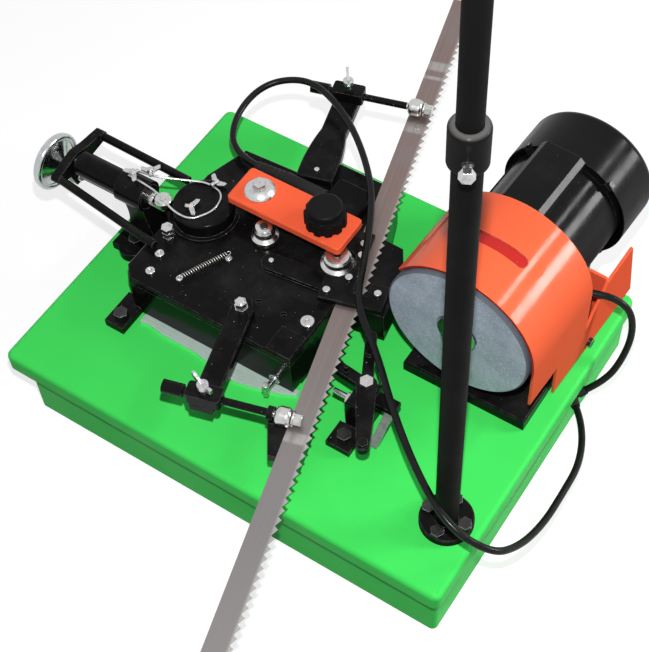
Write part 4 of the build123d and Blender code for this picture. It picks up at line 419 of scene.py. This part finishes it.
# The rotor, its shaft and the wheel's two flanges are turned steel, lathe marks running round
# the axis. The nut clamps the flanges against the wheel's recessed middle.
head_yaw = radians(2.67)
shaft_way = Vector((sin(head_yaw), cos(head_yaw), 0))
wheel_centre = Vector((0.1407, 0.0008, 0.176))
bright_steel = (0.62, 0.62, 0.61)
oily_steel = (0.22, 0.21, 0.195)


def from_axis(tree, at, centre, axis):
    """How far along an axis a point lies, counted from its centre, and how far away from it."""
    arm = vector_step(tree, "SUBTRACT", at, centre)["Vector"]
    along = vector_step(tree, "DOT_PRODUCT", arm, axis)["Value"]
    across = vector_step(tree, "CROSS_PRODUCT", arm, axis)["Vector"]
    return along, vector_step(tree, "LENGTH", across)["Value"]


def turned_steel(name, centre, axis, gloss):
    """Steel turned on a lathe: fine rings round its axis on faces and barrels alike, and oil."""
    rings_a_metre = 5200.0
    finish, tree, shader, at = finish_tree(name)
    rounded = rounded_edges(tree, 0.0006)
    along, radius = from_axis(tree, at, centre, axis)
    cut = calculate(tree, "ADD", along, radius)
    lathe = {"noise_dimensions": "1D"}
    rings = add_node(tree, "TexNoise", lathe, W=cut, Scale=rings_a_metre, Detail=3.0).outputs["Fac"]
    oil = patches(tree, at, a_metre=160, cut=(0.5, 0.75), share=(0.0, 0.5), detail=6, rough=0.7)
    skin = mixed(tree, oil, bright_steel, oily_steel)
    skin = mixed(tree, span(tree, rings, 0.3, 0.7, 0.0, 0.25), skin, oily_steel)
    dull = span(tree, rings, 0.3, 0.7, gloss, gloss + 0.15)
    dress(tree, shader, skin, dull, rings, depth=0.00004, strength=0.5, rounded=rounded)
    shader.inputs["Metallic"].default_value = 1.0
    return finish


turned_shaft = turned_steel("turned_shaft", wheel_centre, shaft_way, gloss=0.16)
paint(turned_shaft, "motor_rotor", "wheel_flanges")

# The grinding wheel is pressed from pale blue-grey abrasive grain in a clay bond. Its face is
# open and sandy with bright sparkling grains, and it is darker grey towards its outer rim.
grain_grey = (0.36, 0.4, 0.52)
grain_light = (0.56, 0.6, 0.76)
grain_dark = (0.19, 0.22, 0.28)
grain_pale = (0.8, 0.83, 0.86)
grains_a_metre = 1150.0
pore_share = 0.45
sparkle_share = 0.6
rim_dark_grey = (0.1, 0.11, 0.13)
rim_radius = 0.0728
rim_fade = 0.0008
abrasive, stone, stone_shader, stone_at = finish_tree("abrasive_stone")
stone_tone = patches(stone, stone_at, a_metre=26, cut=(0.36, 0.66), detail=6, rough=0.7)
stone_colour = mixed(stone, stone_tone, grain_grey, grain_light)
pores = patches(stone, stone_at, a_metre=900, cut=(0.5, 0.64), detail=4, rough=0.7)
dark_pores = calculate(stone, "MULTIPLY", pores, pore_share)
stone_colour = mixed(stone, dark_pores, stone_colour, grain_dark)
grains = add_node(stone, "TexVoronoi", Vector=stone_at, Scale=grains_a_metre).outputs
grain_lot = add_node(stone, "SeparateColor", Color=grains["Color"]).outputs["Red"]
sparkle = span(stone, grain_lot, 0.9, 0.93)
pale_grains = calculate(stone, "MULTIPLY", sparkle, sparkle_share)
stone_colour = mixed(stone, pale_grains, stone_colour, grain_pale)
stone_radius = from_axis(stone, stone_at, wheel_centre, shaft_way)[1]
rim_darkening = span(stone, stone_radius, rim_radius, rim_radius + rim_fade, 0.0, 0.9)
stone_colour = mixed(stone, rim_darkening, stone_colour, rim_dark_grey)
stone_dullness = span(stone, sparkle, 0.0, 1.0, 0.92, 0.45)
sandy = calculate(stone, "SUBTRACT", grains["Distance"], pores)
dress(stone, stone_shader, stone_colour, stone_dullness, sandy, depth=0.0002, strength=0.8)
stone_shader.inputs["Specular IOR Level"].default_value = 0.2
paint(abrasive, "grinding_wheel")

# The wheel's hood and its bracket are bent and rolled sheet steel, sprayed orange-red. The long
# groove pressed into the hood is painted a deeper red, a painted shade for its recess. The bracket
# and the clamp arm of the feed unit share a brighter copy of the orange, which is painted light.
orange = (0.88, 0.13, 0.045)
orange_shade = (0.86, 0.112, 0.038)
# A brighter copy of the hood's orange: painted light for the bracket and the clamp arm.
orange_with_painted_light = (0.98, 0.135, 0.055)
orange_with_painted_light_cloud = (0.96, 0.118, 0.047)
orange_edge = (1.0, 0.32, 0.18)
orange_dust = (0.9, 0.42, 0.32)
# The deeper red painted into the groove as its shade.
groove_painted_shade = (0.5, 0.016, 0.012)
groove_radius = 0.0793
groove_fade = 0.0003


def paint_groove_shade(tree, at, coat):
    """Painted shade: the deeper red wherever the hood lies nearer to the wheel's axis than its
    sheet does.
    """
    radius = from_axis(tree, at, wheel_centre, shaft_way)[1]
    in_groove = span(tree, radius, groove_radius + groove_fade, groove_radius)
    return mixed(tree, in_groove, coat, groove_painted_shade)


hood_enamel = enamel(
    "orange_hood_enamel", (orange, orange_shade, orange_edge, orange_dust), gloss=0.07,
    peel=0.00003, edge_radius=0.0012, edge_wear_and_highlight=0.6, dust_share=0.2, level=0.2, overspray=0.8,
    accent=paint_groove_shade,
)
# The bracket and the clamp arm get the brighter orange copy, which is painted light.
bracket_enamel = enamel(
    "orange_enamel", (orange_with_painted_light, orange_with_painted_light_cloud, orange_edge, orange_dust), gloss=0.12,
    peel=0.00003, edge_radius=0.0012, edge_wear_and_highlight=0.6, dust_share=0.2, level=0.02, overspray=0.8,
)
paint(hood_enamel, "wheel_guard")
paint(bracket_enamel, "head_bracket", "clamp_arm")

# The feed unit's box, plate, pedestal, guide tube and arms are machined or welded steel under a
# quick coat of black enamel, with filings and dust on the flats. The corners are pale grey, partly
# bare steel and partly a painted highlight.
# Bare steel on the corners, and a painted edge highlight.
bare_corner_and_highlight = (0.16, 0.155, 0.15)
pale_filings = (0.42, 0.41, 0.4)
feed_enamel = enamel(
    "black_feed_enamel", (black, black_shade, bare_corner_and_highlight, pale_filings), gloss=0.12, peel=0.00005,
    edge_radius=0.001, edge_wear_and_highlight=0.9, dust_share=0.7, level=0.06,
)
paint(feed_enamel, "feed_base", "feed_top_plate", "pedestal", "guide_tube", "yoke", "cam_drum")
paint(feed_enamel, "feed_motor", "head_base_plate", "blade_saddle", "clamp_plate", "blade_rest")
paint(feed_enamel, "guide_arms", "guide_blocks", "feed_pawl", "pawl_bracket")

# The handwheel behind the plunger is pressed from sheet steel with a rolled rim, and chromed.
# Its screw is chromed with it and goes through the adjusting nut.
chrome = (0.54, 0.55, 0.56)
chrome_cloud = (0.45, 0.47, 0.48)
chrome_dirt = (0.12, 0.12, 0.12)
chrome_rubbed = (0.75, 0.75, 0.75)
polished_chrome = plated_steel(
    "polished_chrome", (chrome, chrome_cloud, chrome_dirt, chrome_rubbed),
    gloss=0.06, dirt_share=0.35,
)
paint(polished_chrome, "handwheel")

# The plunger, its nut and follower and the blade's guide rollers are turned and ground steel,
# each with its lathe marks round its own axle. The wing screws beside them are zinc plated.
upright = Vector((0, 0, 1))
plunger_way = Vector((1, 0, 0))
blade_yaw = radians(15.23)
blade_across = Vector((cos(blade_yaw), sin(blade_yaw), 0))
for node_name, axle in (
    ("plunger_rod", plunger_way),
    ("adjusting_nut", plunger_way),
    ("follower_roller", upright),
    ("left_roller", upright),
    ("blade_roller", upright),
    ("front_guide_roller", blade_across),
    ("rear_guide_roller", blade_across),
):
    low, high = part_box(node_name)
    turned = turned_steel("turned_" + node_name, (low + high) / 2, axle, gloss=0.14)
    paint(turned, node_name)
paint(zinc_plate, "front_wing_screw", "rear_wing_screw", "wire_ring", "tee_screw")

# The two guide rods are round bar in black enamel. Past the shoulder where the roller runs, each
# ends in a bare bright pin and nut.
blade_centre = Vector((0.0242, 0, 0.1365))
shoulder_fade = 0.0002


def along_blade(tree, at):
    """A place counted from the blade's middle, with the blade's width as x and its length as y."""
    at_blade = {"Vector": at, "Location": blade_centre, "Rotation": (0, 0, blade_yaw)}
    return add_node(tree, "Mapping", {"vector_type": "TEXTURE"}, **at_blade).outputs["Vector"]


for node_name, shoulder in (("front_guide_rod", -0.0262), ("rear_guide_rod", -0.0152)):
    rod, tree, shader, at = finish_tree("bright_ended_" + node_name)
    rounded = rounded_edges(tree, 0.0007)
    along = add_node(tree, "SeparateXYZ", Vector=along_blade(tree, at)).outputs["X"]
    bare = span(tree, along, shoulder - shoulder_fade, shoulder + shoulder_fade)
    flecks = crumbs(tree, at, spacing=0.003, size=0.0009, share=0.5)
    chips = patches(tree, at, a_metre=180, cut=(0.4, 0.6), detail=5)
    worn = calculate(tree, "MULTIPLY", edge_share(tree, rounded), chips)
    coat = mixed(tree, calculate(tree, "MAXIMUM", flecks, worn), black, grey_dust)
    oil = patches(tree, at, a_metre=200, cut=(0.45, 0.72), share=(0.0, 0.6), detail=5, rough=0.7)
    pin = mixed(tree, oil, bright_steel, oily_steel)
    gloss_range = (0.16, 0.36)
    dull = patches(tree, at, a_metre=150, cut=(0.3, 0.7), share=gloss_range, detail=5, rough=0.65)
    peel = noise(tree, at, a_metre=420, detail=3)
    colour = mixed(tree, bare, coat, pin)
    dress(tree, shader, colour, dull, peel, depth=0.00006, strength=0.6, rounded=rounded)
    tree.links.new(bare, shader.inputs["Metallic"])
    shader.inputs["Specular IOR Level"].default_value = 0.1
    paint(rod, node_name)

# The bar along the feed unit's front is a milled steel strip with the cutter's marks along it. Its
# pale, green-tinted colours are a painted reflection of light and of the green table. The short
# strut of the feed pawl is cut from duller plated strip.
# Pale greens for the strip: steel with a painted reflection of light and of the table.
strip_pale_and_reflected_green = (0.62, 0.8, 0.71)
strip_line = (0.56, 0.7, 0.63)
strip_stain = (0.42, 0.5, 0.45)
strip_drawn = (12.0, 260.0, 260.0)
# The strut's greys are tinted green as a painted reflection of the table.
strut_grey_with_green_reflection = (0.27, 0.3, 0.28)
strut_cloud = (0.2, 0.22, 0.21)
strut_dirt = (0.1, 0.1, 0.1)
strip, tree, shader, at = finish_tree("milled_strip")
drawn = add_node(tree, "Mapping", Vector=at, Scale=strip_drawn).outputs["Vector"]
lines = noise(tree, drawn, 4.0, detail=5.0)
colour = mixed(tree, span(tree, lines, 0.3, 0.7), strip_pale_and_reflected_green, strip_line)
stained = patches(tree, at, a_metre=60, cut=(0.45, 0.75), share=(0.0, 0.25), detail=5, rough=0.7)
colour = mixed(tree, stained, colour, strip_stain)
dull = span(tree, lines, 0.3, 0.7, 0.2, 0.4)
rounded = rounded_edges(tree, 0.0006)
dress(tree, shader, colour, dull, lines, depth=0.00005, strength=0.5, rounded=rounded)
shader.inputs["Metallic"].default_value = 0.3
paint(strip, "pull_bar")
plated_strut = plated_steel(
    "strut_grey_with_green_reflection", (strut_grey_with_green_reflection, strut_cloud, strut_dirt, zinc_rubbed), gloss=0.25
)
paint(plated_strut, "link_strut")

# The band saw blade is rolled spring steel, brown-grey from tempering, drawn along its length,
# with paler bands across it at given places. The teeth on its right edge are ground
# bright. Each pale band has its place along the blade and its half width.
band_grey = (0.236, 0.222, 0.221)
band_brown = (0.248, 0.176, 0.16)
band_dark = (0.14, 0.115, 0.105)
band_pale = (0.47, 0.455, 0.45)
tooth_bright = (0.5, 0.48, 0.46)
tooth_share = 0.6
band_drawn = (420.0, 5.0, 60.0)
pale_band_places = ((0.327, 0.008), (0.3095, 0.003), (0.2355, 0.009), (-0.154, 0.007))
band, tree, shader, at = finish_tree("band_steel")
local = along_blade(tree, at)
across, along = add_node(tree, "SeparateXYZ", Vector=local).outputs[:2]
drawn = add_node(tree, "Mapping", Vector=local, Scale=band_drawn).outputs["Vector"]
lines = noise(tree, drawn, 1.0, detail=5.0)
clouds = patches(tree, local, a_metre=11, cut=(0.3, 0.6), share=(0.3, 1.0), detail=5, rough=0.6)
temper = calculate(tree, "MULTIPLY", span(tree, along, -0.2, 0.1), clouds)
colour = mixed(tree, temper, band_grey, band_brown)
colour = mixed(tree, span(tree, lines, 0.35, 0.7, 0.0, 0.3), colour, band_dark)
smears = span(tree, noise(tree, drawn, 0.6, detail=3), 0.3, 0.55, 0.15, 0.65)
for band_middle, band_half in pale_band_places:
    from_band = calculate(tree, "ABSOLUTE", calculate(tree, "SUBTRACT", along, band_middle))
    lighter = calculate(tree, "MULTIPLY", span(tree, from_band, band_half, band_half * 0.6), smears)
    colour = mixed(tree, lighter, colour, band_pale)
ground_edge = calculate(tree, "MULTIPLY", span(tree, across, 0.0072, 0.0098), tooth_share)
colour = mixed(tree, ground_edge, colour, tooth_bright)
dull = span(tree, lines, 0.3, 0.7, 0.3, 0.5)
dress(tree, shader, colour, dull, lines, depth=0.00004, strength=0.4)
shader.inputs["Metallic"].default_value = 0.75
paint(band, "saw_blade")

# The star knob that clamps the orange arm is moulded black plastic on a steel insert, with blunt
# lobes for the hand.
knob_black = (0.0055, 0.0053, 0.0054)
knob_pale = (0.009, 0.0088, 0.009)
knob_plastic = moulded_plastic(
    "knob_plastic", knob_black, knob_pale, gloss=0.3, grain=0.00003, level=0.08
)
paint(knob_plastic, "star_knob")

# Rubber boots and strain reliefs hold the cables where they leave the motor, the feed unit and
# the skirt: matt black rubber, greyed by handling.
rubber_black = (0.014, 0.014, 0.0145)
rubber_pale = (0.03, 0.03, 0.031)
boot_rubber = moulded_plastic(
    "boot_rubber", rubber_black, rubber_pale, gloss=0.5, grain=0.00006, level=0.12
)
paint(boot_rubber, "cable_glands", "feed_strain_relief")

# The return spring is wound from hard-drawn steel wire. It lies on the plate between a screw and
# a pin, and each end is bent into a hook that goes round them.
table_to_part = Vector((-11, 0, 76))
spring_low = (Vector((-123, -60, 61.5)) + table_to_part) / 1000
spring_high = (Vector((-99, -9, 61.5)) + table_to_part) / 1000
spring_radius = 0.0027
wire_radius = 0.0005
spring_turns = 19.5
spring_pitch = 0.0026
hook_radius = 0.002
low_hook = range(-60, -271, -30)
high_hook = range(-90, 121, 30)
steps_a_turn = 16
spring_way = (spring_high - spring_low).normalized()
spring_across = upright.cross(spring_way)
spare_length = (spring_high - spring_low).length - spring_turns * spring_pitch
coil_start = spring_low + spring_way * spare_length / 2
wire_bright = (0.58, 0.57, 0.55)
wire_cloud = (0.5, 0.48, 0.45)
wire_dirt = (0.12, 0.115, 0.11)


def hook_point(pin, degrees):
    turn = radians(degrees)
    return pin + (spring_way * cos(turn) + spring_across * sin(turn)) * hook_radius


def wire_curve(name, points, radius, order, roundness, smoothness):
    """A round wire or cable along its points: order 3 or 4 rounds them off, and the other two
    numbers say how finely its section and its run are divided."""
    curve = bpy.data.curves.new(name, "CURVE")
    curve.dimensions = "3D"
    curve.bevel_depth = radius
    curve.bevel_resolution = roundness
    curve.resolution_u = smoothness
    curve.use_fill_caps = True
    run = curve.splines.new("NURBS")
    run.points.add(len(points) - 1)
    for point, place in zip(run.points, points):
        point.co = (*place, 1)
    run.order_u = order
    run.use_endpoint_u = True
    piece = bpy.data.objects.new(name, curve)
    scene.collection.objects.link(piece)
    return piece


spring_path = [hook_point(spring_low, degrees) for degrees in low_hook]
for step in range(round(spring_turns * steps_a_turn) + 1):
    turn = step / steps_a_turn
    out = spring_across * cos(2 * pi * turn) + upright * sin(2 * pi * turn)
    spring_path.append(coil_start + spring_way * (spring_pitch * turn) + out * spring_radius)
spring_path += [hook_point(spring_high, degrees) for degrees in high_hook]
spring = wire_curve("spring_coil", spring_path, wire_radius, order=4, roundness=3, smoothness=2)
spring_wire = plated_steel(
    "spring_wire", (wire_bright, wire_cloud, wire_dirt, zinc_rubbed),
    gloss=0.2, dirt_share=0.5, edge_radius=0.0002,
)
spring.data.materials.append(spring_wire)
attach(spring, "frame")
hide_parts("return_spring")

# The cables are 7 mm round PVC leads. One runs from the feed motor in a loop behind the rear arm,
# over the blade, past the post and back into the skirt; the other from the grinding motor into
# the skirt. Their routes are millimetres from the middle of the table's top face.
cable_diameter = 0.007
jacket_black = (0.0045, 0.0045, 0.0048)
jacket_pale = (0.009, 0.009, 0.0094)
jacket, tree, shader, at = finish_tree("cable_jacket")
tone = patches(tree, at, a_metre=55, cut=(0.35, 0.72), detail=5, rough=0.65)
colour = mixed(tree, tone, jacket_black, jacket_pale)
dull = patches(tree, at, a_metre=120, cut=(0.35, 0.7), share=(0.18, 0.36), detail=4)
ribbing = noise(tree, at, a_metre=700, detail=3)
dress(tree, shader, colour, dull, ribbing, depth=0.00006, strength=0.5)
shader.inputs["Specular IOR Level"].default_value = 0.15
feed_route = [
    (-138, 96, 66), (-171, 98, 66), (-194, 138, 71), (-188, 185, 80), (-150, 209, 86),
    (-108, 198, 86), (-64, 171, 84), (-20, 129, 81), (4, 91, 80), (25, 46, 79), (46, -4, 77),
    (92, -40, 75), (139, -87, 73), (188, -127, 70), (235, -154, 62), (276, -148, 44),
    (288, -118, 20), (292, -78, 1), (290, -36, -11), (287, 8, -21), (269.345, 49.168, -26.380),
    (252.796, 67.223, -31.395),
]
motor_route = [
    (223.560, 118.187, 78), (239.285, 124.646, 78), (256, 130, 72), (268, 133, 57),
    (274, 128.5, 31), (272.5, 116, 3), (266.073, 99.577, -15.326), (252.453, 88.154, -28.287),
]
for lead_name, node_name, length, route in (
    ("feed_lead", "feed_cable", 0.994, feed_route),
    ("motor_lead", "motor_cable", 0.158, motor_route),
):
    places = [(Vector(place) + table_to_part) / 1000 for place in route]
    lead = wire_curve(lead_name, places, cable_diameter / 2, order=3, roundness=5, smoothness=10)
    lead.data.materials.append(jacket)
    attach(lead, "frame")
    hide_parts(node_name)
